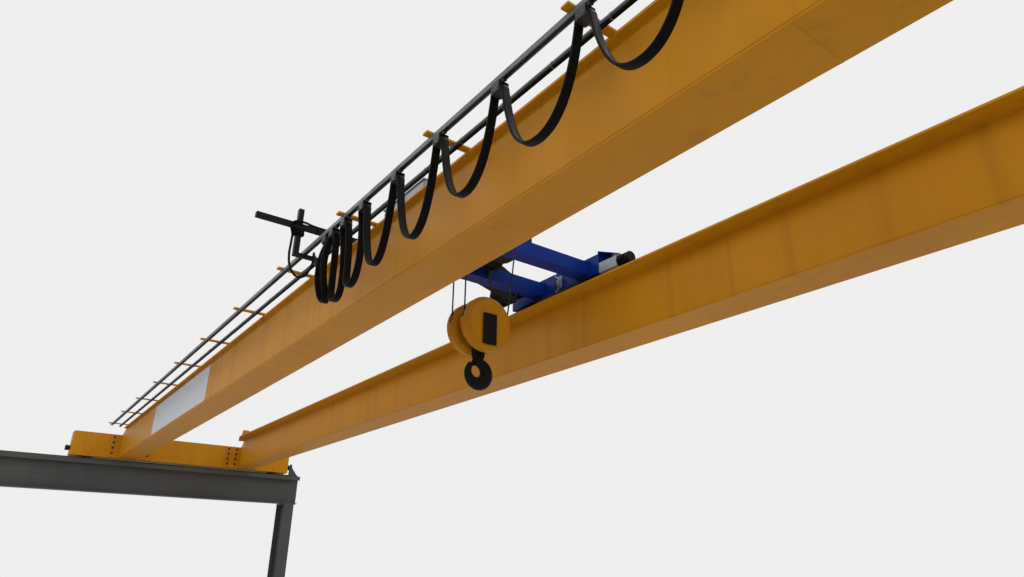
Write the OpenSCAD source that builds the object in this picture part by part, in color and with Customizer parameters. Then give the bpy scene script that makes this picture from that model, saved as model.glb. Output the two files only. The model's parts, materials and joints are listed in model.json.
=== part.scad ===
// Double girder overhead bridge crane with its hoist crab, festoon and a free-standing runway.
// Millimetres, +Z up. The origin is on the floor, in the middle of the runway.
// X runs along the girders and Y along the runway.

/* [Bridge] */
// Distance between the two runway rails
span = 15900; // [12000:100:20000]
// Distance between the middles of the two girders
girder_gap = 2000; // [1900:10:2200]
// Distance from the bridge's buffers to the end stops on its right
bridge_back = 24; // [24:5:7900]
// Height of the girders' undersides above the floor
girder_z = 3370; // [3000:10:5000]

/* [Girders] */
// Width over the two webs of a girder
box_w = 340; // [320:5:380]
// Height of a girder under its top flange
box_h = 484; // [440:4:560]
// Thickness of the webs
web_t = 8; // [6:1:12]
// Thickness of the bottom plate
bottom_t = 12; // [8:1:20]
// Thickness of the top flange
flange_t = 15; // [10:1:25]
// How far the top flange stands past the outer web
flange_out = 44; // [20:2:80]
// How far the top flange stands past the inner web
flange_in = 162; // [120:2:200]
// Length of the sloping top at each end of a girder
slope_l = 300; // [200:10:400]
// Length over which the inner web draws in at each end
taper_l = 635; // [400:5:800]
// How far the inner web draws in at each end
taper_in = 110; // [40:5:130]

/* [End carriages] */
// Length of an end carriage
carriage_l = 3844; // [3700:4:4200]
// Width of an end carriage
carriage_w = 300; // [260:5:340]
// Height of an end carriage
carriage_h = 410; // [380:5:440]
// Wall of an end carriage
carriage_t = 10; // [6:1:16]
// Thickness of the bolted plate at a girder's end
head_t = 20; // [12:1:30]
// Width of that plate
head_w = 680; // [600:10:760]
// Radius of a bridge wheel's tread
bridge_wheel_r = 100; // [90:5:110]
// Distance from a carriage's end to its wheel
wheel_inset = 272; // [250:2:320]
// Length of a rubber buffer
buffer_l = 75; // [50:5:100]

/* [Runway] */
// Length of a runway bay
bay = 6000; // [5500:50:6400]
// Number of runway bays
bays = 2; // [1:1:3]
// How far a runway beam runs past its last column
beam_past = 200; // [180:10:360]
// Depth of a runway beam
beam_h = 528; // [450:1:620]
// Flange width of a runway beam
beam_w = 209; // [180:1:230]
// Flange thickness of a runway beam
beam_flange_t = 14; // [10:1:22]
// Web thickness of a runway beam
beam_web_t = 10; // [8:1:14]
// Width of the channel that caps a runway beam
cap_w = 230; // [225:1:260]
// Depth of that channel's toes
cap_h = 75; // [60:1:90]
// Thickness of that channel
cap_t = 11; // [8:1:14]
// Height of the crane rail
rail_h = 30; // [20:1:40]
// Width of the crane rail
rail_w = 50; // [40:1:60]
// Depth of a column
column_d = 457; // [400:1:540]
// Flange width of a column
column_w = 191; // [180:1:210]
// Flange thickness of a column
column_flange_t = 15; // [10:1:20]
// Web thickness of a column
column_web_t = 9; // [7:1:13]
// Thickness of a column's base plate
base_t = 30; // [20:1:40]

/* [Crab] */
// Place of the crab along the girders
crab_x = 2021; // [1500:1:2500]
// Length of a crab truck
truck_l = 1226; // [1150:2:1400]
// Width of a crab truck
truck_w = 170; // [150:5:190]
// Height of a crab truck
truck_h = 175; // [150:5:210]
// Wall of a crab truck and of a cross beam
crab_wall = 8; // [5:1:12]
// Height of the crab's rail
crab_rail_h = 30; // [20:1:40]
// Width of the crab's rail
crab_rail_w = 40; // [30:1:50]
// Radius of a crab wheel's tread
crab_wheel_r = 100; // [90:5:110]
// Distance from a truck's end to its wheel
crab_wheel_inset = 163; // [150:1:200]
// Height of a cross beam
cross_h = 120; // [100:5:140]
// Width of a cross beam
cross_w = 150; // [120:5:160]
// Place of the cross beam at the near end, from the crab's middle
cross_near = 415; // [380:5:440]
// Place of the cross beam at the far end, from the crab's middle
cross_far = -200; // [-240:5:-160]

/* [Hoist] */
// Radius of the rope drum's barrel
drum_r = 164.5; // [150:0.5:180]
// Length of the rope drum
drum_l = 400; // [360:5:400]
// Place of the drum's middle across the bridge
drum_y = 80; // [60:5:120]
// Height of the drum's middle above the crab rail
drum_z = 310; // [270:5:320]
// Diameter of the hoist rope
rope_d = 13; // [10:0.5:16]

/* [Hook block] */
// Radius of a sheave cover
cover_r = 225; // [210:5:240]
// Thickness of a sheave cover
cover_t = 116; // [110:2:126]
// Space between the two sheave covers
cover_gap = 88; // [80:2:100]
// Height of the block's axle above the floor
block_z = 3449; // [3200:1:3600]
// Place of the block across the bridge
block_y = -42; // [-60:1:60]
// Place of the block from the crab's middle
block_x = -3; // [-20:1:20]
// Radius of a sheave at the rope's middle
sheave_r = 206; // [190:2:206]

/* [Festoon] */
// Distance between the festoon's brackets
bracket_pitch = 1200; // [1000:10:1300]
// Width of the festoon's rail
c_rail_w = 32; // [28:1:40]
// Height of the festoon's rail
c_rail_h = 30; // [26:1:40]
// Distance from the flange's edge to the festoon's rail
rail_reach = 236; // [200:2:300]
// Distance from the flange's edge to the inner rail
conduit_reach = 100; // [80:2:120]
// Width of the flat cable
cable_w = 50; // [40:2:60]
// Thickness of the flat cable
cable_t = 14; // [10:1:18]

/* [Hidden] */
e = 1;             // how far a cut runs past the face that it opens
seat = 0.3;        // gap under a wheel or beside a running face
fit = 0.1;         // gap round an axle or a pin in its bore
axle_r = 28;
crab_axle_r = 22;
$fn = 48;

// Levels
flange_z = girder_z + box_h;
flange_top = flange_z + flange_t;
carriage_z = girder_z;
carriage_top = carriage_z + carriage_h;
wheel_drop = 18;
rail_top = carriage_z - wheel_drop;
cap_top = rail_top - rail_h;
beam_top = cap_top - cap_t;
beam_z = beam_top - beam_h;
crab_rail_top = flange_top + crab_rail_h;
truck_drop = 51;
truck_z = crab_rail_top + truck_drop;
cross_z = truck_z + 20;
cross_top = cross_z + cross_h;

// Places along the bridge
carriage_x = span / 2;
girder_end = carriage_x - carriage_w / 2;
wheel_base = carriage_l - 2 * wheel_inset;
wheel_pocket = bridge_wheel_r + 35;
crab_wheel_base = truck_l - 2 * crab_wheel_inset;
crab_pocket = crab_wheel_r + 30;

// Places along the runway
runway_l = bay * bays + 2 * beam_past;
stop_face = bay * bays / 2 + 6;
bridge_y = stop_face - bridge_back - buffer_l - carriage_l / 2;

// Girder outline across the bridge, for the girder on the +Y side
web_in = girder_gap / 2 - box_w / 2;
web_out = girder_gap / 2 + box_w / 2;
flange_edge_in = web_in - flange_in;
flange_edge_out = web_out + flange_out;
crab_rail_y = web_in + 10;
flange_taper_l = 450;   // length over which the flange narrows at each end
flange_end_in = 45;     // how far the flange stands past the inner web at its ends
manhole = 100;          // opening left by the plate at a girder's end, for the bolts inside

// Colours
amber = [0.85, 0.53, 0.07];
crab_blue = [0.05, 0.12, 0.45];
steel_grey = [0.45, 0.47, 0.48];
zinc = [0.68, 0.70, 0.71];
soot = [0.05, 0.05, 0.055];

// Festoon's brackets, and its cars from the tow car to the fixed end of the cable
bracket_n = floor((girder_end - 340) / bracket_pitch);
rail_end = bracket_n * bracket_pitch + 60;
tow_x = crab_x + 116;
anchor_x = rail_end - 121;
car_gaps = [121, 197, 291, 451, 501, 558, 621, 600, 766, 766, 130];
car_space = 106;   // least distance between two cars
function total(list, i = 0) = i < len(list) ? list[i] + total(list, i + 1) : 0;
gap_scale = (anchor_x - tow_x - len(car_gaps) * car_space) / (total(car_gaps) - len(car_gaps) * car_space);
function car_x(i) = i == 0 ? tow_x : car_x(i - 1) + car_space + (car_gaps[i - 1] - car_space) * gap_scale;
festoon_y = -flange_edge_out - rail_reach;
inner_rail_y = -flange_edge_out - conduit_reach;
bracket_z = flange_top;
bracket_h = 12;
bracket_w = 50;
rail_drop = 6;
c_rail_top = bracket_z - rail_drop;
c_rail_z = c_rail_top - c_rail_h;
rail_wall = 2.5;
roller_r = 11;
stirrup_z = c_rail_z - 20;
saddle_r = 36;
arch_r = saddle_r + seat + cable_t / 2;
car_l = 60;
saddle_z = stirrup_z - 3 - cable_t - saddle_r;
cheek_y = cable_w / 2 + 2;
cheek_t = 4;
loop_depths = [471, 504, 479, 459, 461, 432, 435, 414, 405, 405, 520];
crab_cable_d = 18;

// Crab and hoist
control_l = 637;
control_h = 160;
box_x0 = -102;
bearing_t = 22;
drum_gap = 18;
shaft_r = 32;
drum_x0 = cross_far + cross_w / 2 - bearing_t;
drum_x1 = cross_near - cross_w / 2 + bearing_t;
drum_mid = cross_near - cross_w / 2 - drum_gap - drum_l / 2;
drum_height = crab_rail_top + drum_z;
drum_rise = drum_height - cross_top;
drum_rope_r = drum_r + rope_d / 2 + seat;
groove_pitch = 15;
grooves = 24;
gearbox_t = 130;
gearbox_x = cross_far - cross_w / 2 - gearbox_t - seat;
shaft_x = gearbox_x + gearbox_t - 10;
motor_reach = 520;
motor_angle = -20;
motor_l = 200;
fall_x = 93;
fall_left = block_y - sheave_r;
return_z = cross_z + 62;
dead_end_y = 120;
dead_end_z = 4045;
tow_bar = 40;
arm_x = -351;
arm_z = 4030;
arm_end_y = -1860;
arm_y = -1526;
arm_low_z = 3800;
arm_h = 395;
axle_block_r = 30;
cover_x = cover_gap / 2 + cover_t / 2;
cover_wall = 4;
head_low = -262;
crosshead_w = 60;
shank_r = 22;
neck_r = 44;
eye_y = -20;
eye_z = -375;
throat_r = 47;
hook_outer = 131;
hook_t = 72;
mouth_a0 = 106;
mouth_a1 = 136;
pin_r = 5;
latch_w = 24;
latch_y = -30;
latch_z = -298;
latch_a = 222;
latch_l = 46;
crab_cable_route = [[-331, -1565, 4029], [-331, -1567, 3990], [-331, -1569, 3950], [-332, -1570, 3900], [-333, -1572, 3850],
                    [-333, -1572, 3800], [-331, -1560, 3720], [-327, -1525, 3655], [-323, -1480, 3632], [-317, -1435, 3655],
                    [-309, -1405, 3720], [-301, -1392, 3785], [-295, -1396, 3822], [-278, -1402, 3836], [-256, -1407, 3820],
                    [-225, -1413, 3785], [-185, -1420, 3743], [-140, -1428, 3700], [-95, -1435, 3658], [-50, -1441, 3618],
                    [-10, -1446, 3590], [24, -1449, 3582], [50, -1449, 3600], [66, -1449, 3645], [72, -1449, 3700],
                    [72.7, -1449, 3750], [72.7, -1449, 3759]];

// One solid on each side of the bridge
module both_sides() {
    children();
    mirror([0, 1, 0]) children();
}

// One solid at each end of the bridge
module both_ends() {
    children();
    mirror([1, 0, 0]) children();
}

// Puts the bridge's own pieces at their place along the runway
module on_bridge() {
    translate([0, bridge_y, 0]) children();
}

// Puts the crab's own pieces at their place on the bridge
module on_crab() {
    translate([crab_x, bridge_y, 0]) children();
}

// Rolled section seen from its end, upright in XY
module i_profile(h, w, flange, web) {
    difference() {
        square([w, h], center = true);
        for (s = [-1, 1]) translate([s * (w + web) / 4 + s * e / 2, 0])
            square([(w - web) / 2 + e, h - 2 * flange], center = true);
    }
}

// Runway

module runway_beam(x) {
    color(steel_grey) translate([x, 0, 0]) {
        translate([0, runway_l / 2, beam_z + beam_h / 2]) rotate([90, 0, 0]) linear_extrude(runway_l)
            i_profile(beam_h, beam_w, beam_flange_t, beam_web_t);
        translate([0, runway_l / 2, 0]) rotate([90, 0, 0]) linear_extrude(runway_l) difference() {
            translate([-cap_w / 2, cap_top - cap_h]) square([cap_w, cap_h]);
            translate([-cap_w / 2 + cap_t, cap_top - cap_h - e]) square([cap_w - 2 * cap_t, cap_h - cap_t + e]);
        }
    }
}

function column_ys() = [for (i = [0:bays]) -bay * bays / 2 + i * bay];

module runway_beam_far() {
    runway_beam(-carriage_x);
}

module runway_beam_near() {
    runway_beam(carriage_x);
}

module runway_rails() {
    color(zinc) both_ends() translate([carriage_x, 0, cap_top + rail_h / 2])
        cube([rail_w, runway_l - 40, rail_h], center = true);
}

// Plate with a rounded top and a gusset behind it, set over the rail's end
stop_h = 245;
stop_w = 130;
module runway_end_stop() {
    translate([carriage_x, stop_face, cap_top]) {
        difference() {
            translate([-stop_w / 2, 0, 0]) cube([stop_w, 20, stop_h - stop_w / 2]);
            translate([-rail_w / 2 - 1, -e, -e]) cube([rail_w + 2, 20 + 2 * e, rail_h + 2]);
        }
        translate([0, 20, stop_h - stop_w / 2]) rotate([90, 0, 0]) cylinder(h = 20, r = stop_w / 2);
        for (s = [-1, 1]) translate([s * 45 - 6, 20, 0]) rotate([90, 0, 90]) linear_extrude(12)
            polygon([[-1, 0], [130, 0], [130, 15], [0, stop_h - stop_w / 2], [-1, stop_h - stop_w / 2]]);
    }
}

module runway_end_stops() {
    color(steel_grey) both_ends() both_sides() runway_end_stop();
}

// Column with its base plate, cap plate and stiffeners
module column() {
    cap_plate = 20;
    shaft = beam_z - base_t - cap_plate;
    translate([0, 0, base_t]) linear_extrude(shaft) rotate(90) i_profile(column_d, column_w, column_flange_t, column_web_t);
    difference() {
        translate([-(column_d + 160) / 2, -(column_w + 160) / 2, 0]) cube([column_d + 160, column_w + 160, base_t]);
        for (x = [-1, 1]) for (y = [-1, 1]) translate([x * anchor_dx / 2, y * anchor_dy / 2, -e])
            cylinder(h = base_t + 2 * e, r = anchor_r);
    }
    translate([-column_d / 2, -column_w / 2 - 10, beam_z - cap_plate]) cube([column_d, column_w + 20, cap_plate]);
}

anchor_dx = 537;
anchor_dy = 271;
anchor_r = 13;

module columns_far() {
    color(steel_grey) for (y = column_ys()) translate([-carriage_x, y, 0]) column();
}

module columns_near() {
    color(steel_grey) for (y = column_ys()) translate([carriage_x, y, 0]) column();
}

// Bridge

// Plan of the box at the girder on the +Y side, with its inner web drawn in at the ends
function box_plan(inset) = [
    [-girder_end, web_out - inset], [girder_end, web_out - inset],
    [girder_end, web_in + taper_in + inset], [girder_end - taper_l, web_in + inset],
    [-girder_end + taper_l, web_in + inset], [-girder_end, web_in + taper_in + inset]];

// Side view of the girder, in XZ, drawn down at its ends to the carriage's top
box_side = [[-girder_end, girder_z], [girder_end, girder_z], [girder_end, carriage_top], [girder_end - slope_l, flange_z],
            [-girder_end + slope_l, flange_z], [-girder_end, carriage_top]];

module side_prism(points) {
    translate([0, girder_gap, 0]) rotate([90, 0, 0]) linear_extrude(2 * girder_gap) polygon(points);
}

// The girder on the +Y side: two webs and a bottom plate under a wide top flange, sloping at both ends
module girder() {
    difference() {
        intersection() {
            translate([0, 0, girder_z]) linear_extrude(box_h) polygon(box_plan(0));
            side_prism(box_side);
        }
        intersection() {
            translate([0, 0, girder_z + bottom_t]) linear_extrude(box_h) polygon(box_plan(web_t));
            side_prism([[-girder_end - e, girder_z], [girder_end + e, girder_z],
                        [girder_end + e, carriage_top - flange_t], [girder_end - slope_l - 8, flange_z],
                        [-girder_end + slope_l + 8, flange_z], [-girder_end - e, carriage_top - flange_t]]);
        }
    }
    translate([0, 0, flange_z]) linear_extrude(flange_t) polygon([
        [-girder_end + slope_l, flange_edge_out], [girder_end - slope_l, flange_edge_out],
        [girder_end - slope_l, web_in - flange_end_in], [girder_end - slope_l - flange_taper_l, flange_edge_in],
        [-girder_end + slope_l + flange_taper_l, flange_edge_in], [-girder_end + slope_l, web_in - flange_end_in]]);
    for (s = [-1, 1]) difference() {
        translate([s * (girder_end - head_t / 2), girder_gap / 2, carriage_z + carriage_h / 2])
            cube([head_t, head_w, carriage_h - 20], center = true);
        translate([s * girder_end, (web_in + taper_in + web_out) / 2, carriage_z + carriage_h / 2])
            rotate([0, 90, 0]) cylinder(h = 3 * head_t, r = manhole / 2 + 25, center = true);
    }
    // slanting cover plates from the flange down to the carriages
    for (s = [0, 1]) mirror([s, 0, 0]) translate([0, web_out, 0]) rotate([90, 0, 0])
        linear_extrude(web_out - web_in - taper_in + 2)
            polygon([[girder_end - slope_l - 0.5, flange_z], [girder_end - slope_l - 0.5, flange_top],
                     [girder_end, carriage_top + flange_t], [girder_end, carriage_top]]);
}

module girder_b() {
    color(amber) on_bridge() girder();
}

module girder_a() {
    color(amber) on_bridge() mirror([0, 1, 0]) girder();
}

// End carriage: a box with pockets for its wheels, at the far end
module end_carriage() {
    difference() {
        translate([-carriage_x - carriage_w / 2, -carriage_l / 2, carriage_z]) cube([carriage_w, carriage_l, carriage_h]);
        translate([-carriage_x - carriage_w / 2 + carriage_t, -carriage_l / 2 + carriage_t, carriage_z + carriage_t])
            cube([carriage_w - 2 * carriage_t, carriage_l - 2 * carriage_t, carriage_h - 2 * carriage_t]);
        for (s = [-1, 1]) {
            translate([-carriage_x - 70, s * wheel_base / 2 - wheel_pocket, carriage_z - e])
                cube([140, 2 * wheel_pocket, 2 * wheel_pocket - 10]);
            translate([-carriage_x, s * wheel_base / 2, rail_top + bridge_wheel_r + seat]) rotate([0, 90, 0])
                cylinder(h = carriage_w + 2 * e, r = axle_r + fit, center = true);
        }
        for (g = [-1, 1]) translate([-carriage_x + carriage_w / 2, g * (web_in + taper_in + web_out) / 2, carriage_z + carriage_h / 2])
            rotate([0, 90, 0]) cylinder(h = 3 * carriage_t, r = manhole / 2 + 25, center = true);
    }
}

module end_carriage_far() {
    color(amber) on_bridge() end_carriage();
}

module end_carriage_near() {
    color(amber) on_bridge() mirror([1, 0, 0]) end_carriage();
}

module carriage_buffers() {
    color(soot) on_bridge() both_ends() both_sides()
        translate([carriage_x, carriage_l / 2, carriage_z + 125]) rotate([-90, 0, 0]) {
            cylinder(h = buffer_l, r1 = 38, r2 = 45);
        }
}

// Double flanged wheel about the X axis
module flanged_wheel(r, tread, flange, rim) {
    rotate([0, 90, 0]) rotate_extrude($fn = 64) polygon([
        [0, -tread / 2 - flange], [r + rim, -tread / 2 - flange], [r + rim, -tread / 2 - 2],
        [r, -tread / 2], [r, tread / 2], [r + rim, tread / 2 + 2], [r + rim, tread / 2 + flange],
        [0, tread / 2 + flange]]);
}

module bridge_wheel_pair(y) {
    color(soot) on_bridge() both_ends() translate([carriage_x, y, rail_top + bridge_wheel_r + seat]) {
        flanged_wheel(bridge_wheel_r, rail_w + 12, 18, 15);
        rotate([0, 90, 0]) cylinder(h = carriage_w + 16, r = axle_r, center = true);
    }
}

module bridge_wheels_left() {
    bridge_wheel_pair(-wheel_base / 2);
}

module bridge_wheels_right() {
    bridge_wheel_pair(wheel_base / 2);
}

// Outline of a gear housing that narrows from one shaft to another, d apart along X
module gear_outline(r1, r2, d) {
    a = acos((r1 - r2) / d);
    polygon(concat([for (i = [0:16]) r1 * [cos(a + i * (360 - 2 * a) / 16), sin(a + i * (360 - 2 * a) / 16)]],
                   [for (i = [0:10]) [d, 0] + r2 * [cos(-a + i * 2 * a / 10), sin(-a + i * 2 * a / 10)]]));
}

travel_motor_l = 250;
// Shaft-mounted geared motor on the outside of each carriage, on the driven wheel's axle
module travel_drives() {
    color(soot) on_bridge() both_ends()
        translate([-carriage_x - carriage_w / 2 - seat, wheel_base / 2, rail_top + bridge_wheel_r + seat]) rotate([0, -90, 0]) {
            difference() {
                linear_extrude(80) gear_outline(85, 66, 150);
                translate([0, 0, -e]) cylinder(h = 12 + e, r = axle_r + seat);
            }
            translate([150, 0, 80]) cylinder(h = travel_motor_l, r = 62);
        }
}

module crab_rails() {
    color(steel_grey) on_bridge() both_sides() translate([0, crab_rail_y, flange_top + crab_rail_h / 2])
        cube([2 * (girder_end - slope_l) - 100, crab_rail_w, crab_rail_h], center = true);
}

crab_stop_far = girder_end - 470;
crab_stop_near = girder_end - 1400;
crab_buffer_y = crab_rail_y + 52;
// Plate beside or over the crab's rail, with two gussets behind it
module crab_end_stop(y, w, h) {
    difference() {
        translate([0, y - w / 2, flange_top]) cube([15, w, h]);
        translate([-e, crab_rail_y - crab_rail_w / 2 - 1, flange_top - e]) cube([15 + 2 * e, crab_rail_w + 2, crab_rail_h + e + 1]);
    }
    for (s = [-1, 1]) translate([15, y + s * (w / 2 - 5) + 5, flange_top]) rotate([90, 0, 0]) linear_extrude(10)
        polygon([[-1, 0], [110, 0], [110, 12], [0, h], [-1, h]]);
}

module crab_end_stops() {
    color(amber) on_bridge() both_sides() {
        translate([crab_stop_near, 0, 0]) crab_end_stop(crab_buffer_y, 60, 150);
        translate([-crab_stop_far, 0, 0]) mirror([1, 0, 0]) crab_end_stop(crab_rail_y + 20, 120, 172);
    }
}

// Festoon carried by the outer edge of girder A

function bracket_xs() = [for (i = [-bracket_n:bracket_n]) i * bracket_pitch];

module festoon_brackets() {
    color(amber) on_bridge() for (x = bracket_xs())
        translate([x - bracket_w / 2, -flange_edge_out - rail_reach - 50, bracket_z]) {
            cube([bracket_w, rail_reach + 50 + 60, bracket_h]);
            for (y = [50, rail_reach - conduit_reach + 50]) translate([bracket_w / 2 - 15, y - 15, -rail_drop]) cube([30, 30, rail_drop + e]);
        }
}

module festoon_rail() {
    lip = 7;
    color(zinc) on_bridge() translate([-rail_end, festoon_y, c_rail_z]) rotate([90, 0, 90])
        linear_extrude(2 * rail_end) difference() {
            translate([-c_rail_w / 2, 0]) square([c_rail_w, c_rail_h]);
            translate([-c_rail_w / 2 + rail_wall, rail_wall]) square([c_rail_w - 2 * rail_wall, c_rail_h - 2 * rail_wall]);
            translate([-c_rail_w / 2 + lip, -e]) square([c_rail_w - 2 * lip, rail_wall + 2 * e]);
        }
}

conduit_r = 13;
module inner_rail() {
    color(zinc) on_bridge() translate([-rail_end, inner_rail_y, bracket_z - rail_drop - conduit_r])
        rotate([0, 90, 0]) cylinder(h = 2 * rail_end, r = conduit_r);
}

line_cable_w = 22;
line_cable_t = 10;
module line_cable() {
    color(soot) on_bridge() translate([-rail_end + 20, inner_rail_y - line_cable_w / 2, bracket_z - rail_drop - 2 * conduit_r - line_cable_t])
        cube([2 * rail_end - 40, line_cable_w, line_cable_t]);
}

board_l = 2980;
board_h = 430;
board_x = -4990;
module name_board() {
    color([0.9, 0.9, 0.9]) on_bridge() translate([board_x, -web_out - 3, girder_z + 22]) cube([board_l, 3, board_h]);
}

// Saddle for the cable between two cheeks, under a top plate
module saddle() {
    difference() {
        translate([-car_l / 2, -cheek_y - cheek_t, saddle_z]) cube([car_l, 2 * (cheek_y + cheek_t), stirrup_z + 5 - saddle_z]);
        translate([-car_l / 2 - e, -cheek_y, saddle_z - e]) cube([car_l + 2 * e, 2 * cheek_y, stirrup_z - saddle_z + e]);
    }
    translate([0, cheek_y + e, saddle_z]) rotate([90, 0, 0]) linear_extrude(2 * (cheek_y + e)) intersection() {
        circle(r = saddle_r);
        translate([-saddle_r, 0]) square([2 * saddle_r, saddle_r]);
    }
}

// Trolley that rolls in the festoon's rail: four rollers and a hanger that carries a saddle
module cable_car(x) {
    color(soot) translate([x, bridge_y + festoon_y, 0]) {
        for (s = [-1, 1]) translate([s * 24, 0, c_rail_z + rail_wall + seat + roller_r]) rotate([90, 0, 0])
            cylinder(h = c_rail_w - 2 * rail_wall - 3, r = roller_r, center = true);
        translate([-36, -4, stirrup_z]) cube([72, 8, c_rail_z + 14 - stirrup_z]);
        saddle();
    }
}

module tow_car() {
    cable_car(car_x(0));
}

// Fixed saddle and clamps at the near end of the festoon's rail
module cable_anchor() {
    color(zinc) on_bridge() translate([anchor_x, festoon_y, 0]) {
        saddle();
        for (s = [-1, 1]) translate([-20, s * (c_rail_w / 2 + 2) - 2, stirrup_z]) cube([40, 4, c_rail_z + 20 - stirrup_z]);
    }
}

// Flat cable: laid over each saddle and hanging in a loop between each car and the next.
// One side of a loop is a curve from the saddle's edge to the lowest point. Narrow loops bulge, wide ones hang slack.
function loop_side(gap, depth) =
    let (half = gap / 2 - arch_r, wide = min(gap / 2 - cable_t / 2 - 2, max(half, 95)), slack = max(0, min(1, (gap - 200) / 250)))
    [[half, 0],
     [(1 - slack) * (half + 1.3 * (wide - half)) + slack * 0.8 * half, -depth * ((1 - slack) * 0.75 + slack * 0.66)],
     [(1 - slack) * 1.25 * wide + slack * 0.5 * half, -depth],
     [0, -depth]];
function side_point(p, t) = pow(1 - t, 3) * p[0] + 3 * pow(1 - t, 2) * t * p[1] + 3 * (1 - t) * t * t * p[2] + t * t * t * p[3];
function side_turn(p, t) =
    let (d = pow(1 - t, 2) * (p[1] - p[0]) + 2 * (1 - t) * t * (p[2] - p[1]) + t * t * (p[3] - p[2]))
    t == 0 ? [1, 0] : [-d[1], d[0]] / norm(d);
module cable_loop(x0, x1, depth) {
    p = loop_side(x1 - x0, depth);
    steps = [0, 0.08, 0.2, 0.36, 0.52, 0.66, 0.78, 0.89, 1];
    last = len(steps) - 1;
    outer = [for (t = steps) side_point(p, t) + side_turn(p, t) * cable_t / 2];
    inner = [for (t = steps) side_point(p, t) - side_turn(p, t) * cable_t / 2];
    translate([(x0 + x1) / 2, 0]) polygon(concat(
        outer, [for (i = [last - 1:-1:0]) [-outer[i][0], outer[i][1]]],
        [for (i = [0:last - 1]) [-inner[i][0], inner[i][1]]], [for (i = [last:-1:0]) inner[i]]));
}

module cable_arch(x) {
    translate([x, 0]) intersection() {
        difference() {
            circle(r = arch_r + cable_t / 2);
            circle(r = arch_r - cable_t / 2);
        }
        translate([-2 * arch_r, 0]) square([4 * arch_r, 2 * arch_r]);
    }
}

module festoon_cable() {
    color(soot) translate([0, bridge_y + festoon_y + cable_w / 2, saddle_z]) rotate([90, 0, 0]) linear_extrude(cable_w) {
        for (i = [0:10]) {
            cable_loop(car_x(i), car_x(i + 1), loop_depths[i]);
            cable_arch(car_x(i));
        }
        cable_arch(anchor_x);
    }
}

// Round cable from the crab down its tow arm to the first car
module round_cable(points, r) {
    n = len(points);
    sides = 8;
    ring = [for (i = [0:n - 1])
        let (d = points[min(n - 1, i + 1)] - points[max(0, i - 1)], t = d / norm(d),
             u0 = cross(t, [0.3, 0.2, 0.1]), u = u0 / norm(u0), v = cross(t, u))
        for (k = [0:sides - 1]) points[i] + r * (cos(360 * k / sides) * u + sin(360 * k / sides) * v)];
    polyhedron(points = ring, faces = concat(
        [[for (k = [sides - 1:-1:0]) k]],
        [for (i = [0:n - 2]) for (k = [0:sides - 1])
            for (f = [[i * sides + k, i * sides + (k + 1) % sides, (i + 1) * sides + k],
                      [i * sides + (k + 1) % sides, (i + 1) * sides + (k + 1) % sides, (i + 1) * sides + k]]) f],
        [[for (k = [0:sides - 1]) (n - 1) * sides + k]]));
}

module crab_cable() {
    color(soot) on_crab() round_cable(crab_cable_route, crab_cable_d / 2);
}

// Crab

module box_beam(l, w, h, t) {
    difference() {
        cube([l, w, h]);
        translate([-e, t, t]) cube([l + 2 * e, w - 2 * t, h - 2 * t]);
    }
}

truck_top = truck_z + truck_h;
guard_t = 6;
guard_l = 242;
// Truck on the +Y side: a box with a pocket under each wheel
module crab_truck() {
    y0 = crab_rail_y - truck_w / 2;
    difference() {
        translate([-truck_l / 2, y0, truck_z]) cube([truck_l, truck_w, truck_h]);
        translate([-truck_l / 2 + crab_wall, y0 + crab_wall, truck_z + crab_wall])
            cube([truck_l - 2 * crab_wall, truck_w - 2 * crab_wall, truck_h - 2 * crab_wall]);
        for (s = [-1, 1]) {
            translate([s * crab_wheel_base / 2 - crab_pocket, crab_rail_y - 55, truck_z - e])
                cube([2 * crab_pocket, 110, truck_h - crab_wall]);
            translate([s * crab_wheel_base / 2, crab_rail_y, crab_rail_top + crab_wheel_r + seat]) rotate([90, 0, 0])
                cylinder(h = truck_w + 2 * e, r = crab_axle_r + fit, center = true);
        }
    }
    for (s = [-1, 1]) translate([s * truck_l / 2, crab_buffer_y, truck_z + 35]) rotate([0, s * 90, 0])
        cylinder(h = 40, r = 26);
    // sloping plate over the drive at the near end, on an upright strip
    translate([0, y0 + truck_w, 0]) rotate([90, 0, 0]) linear_extrude(truck_w) polygon([
        [truck_l / 2 - guard_t, truck_top - e], [truck_l / 2, truck_top - e], [truck_l / 2, truck_top + 25 - guard_t],
        [truck_l / 2 + guard_l, truck_top - 80 - guard_t], [truck_l / 2 + guard_l, truck_top - 80],
        [truck_l / 2, truck_top + 25], [truck_l / 2 - guard_t, truck_top + 25]]);
}

module crab_truck_b() {
    color(crab_blue) on_crab() crab_truck();
}

module crab_truck_a() {
    color(crab_blue) on_crab() mirror([0, 1, 0]) crab_truck();
}

module cross_beam(x) {
    half = crab_rail_y - truck_w / 2 - seat;
    translate([x - cross_w / 2, half, cross_z]) rotate([0, 0, -90]) box_beam(2 * half, cross_w, cross_h, crab_wall);
}

module cross_beam_near() {
    color(crab_blue) on_crab() cross_beam(cross_near);
}

module cross_beam_far() {
    color(crab_blue) on_crab() {
        cross_beam(cross_far);
        rope_anchor();
    }
}

module crab_wheel_pair(x) {
    color(soot) on_crab() both_sides() translate([x, crab_rail_y, crab_rail_top + crab_wheel_r + seat]) rotate([0, 0, 90]) {
        flanged_wheel(crab_wheel_r, crab_rail_w + 10, 14, 12);
        rotate([0, 90, 0]) cylinder(h = truck_w - 1, r = crab_axle_r, center = true);
    }
}

module crab_wheels_near() {
    crab_wheel_pair(crab_wheel_base / 2);
}

module crab_wheels_far() {
    crab_wheel_pair(-crab_wheel_base / 2);
}

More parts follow.
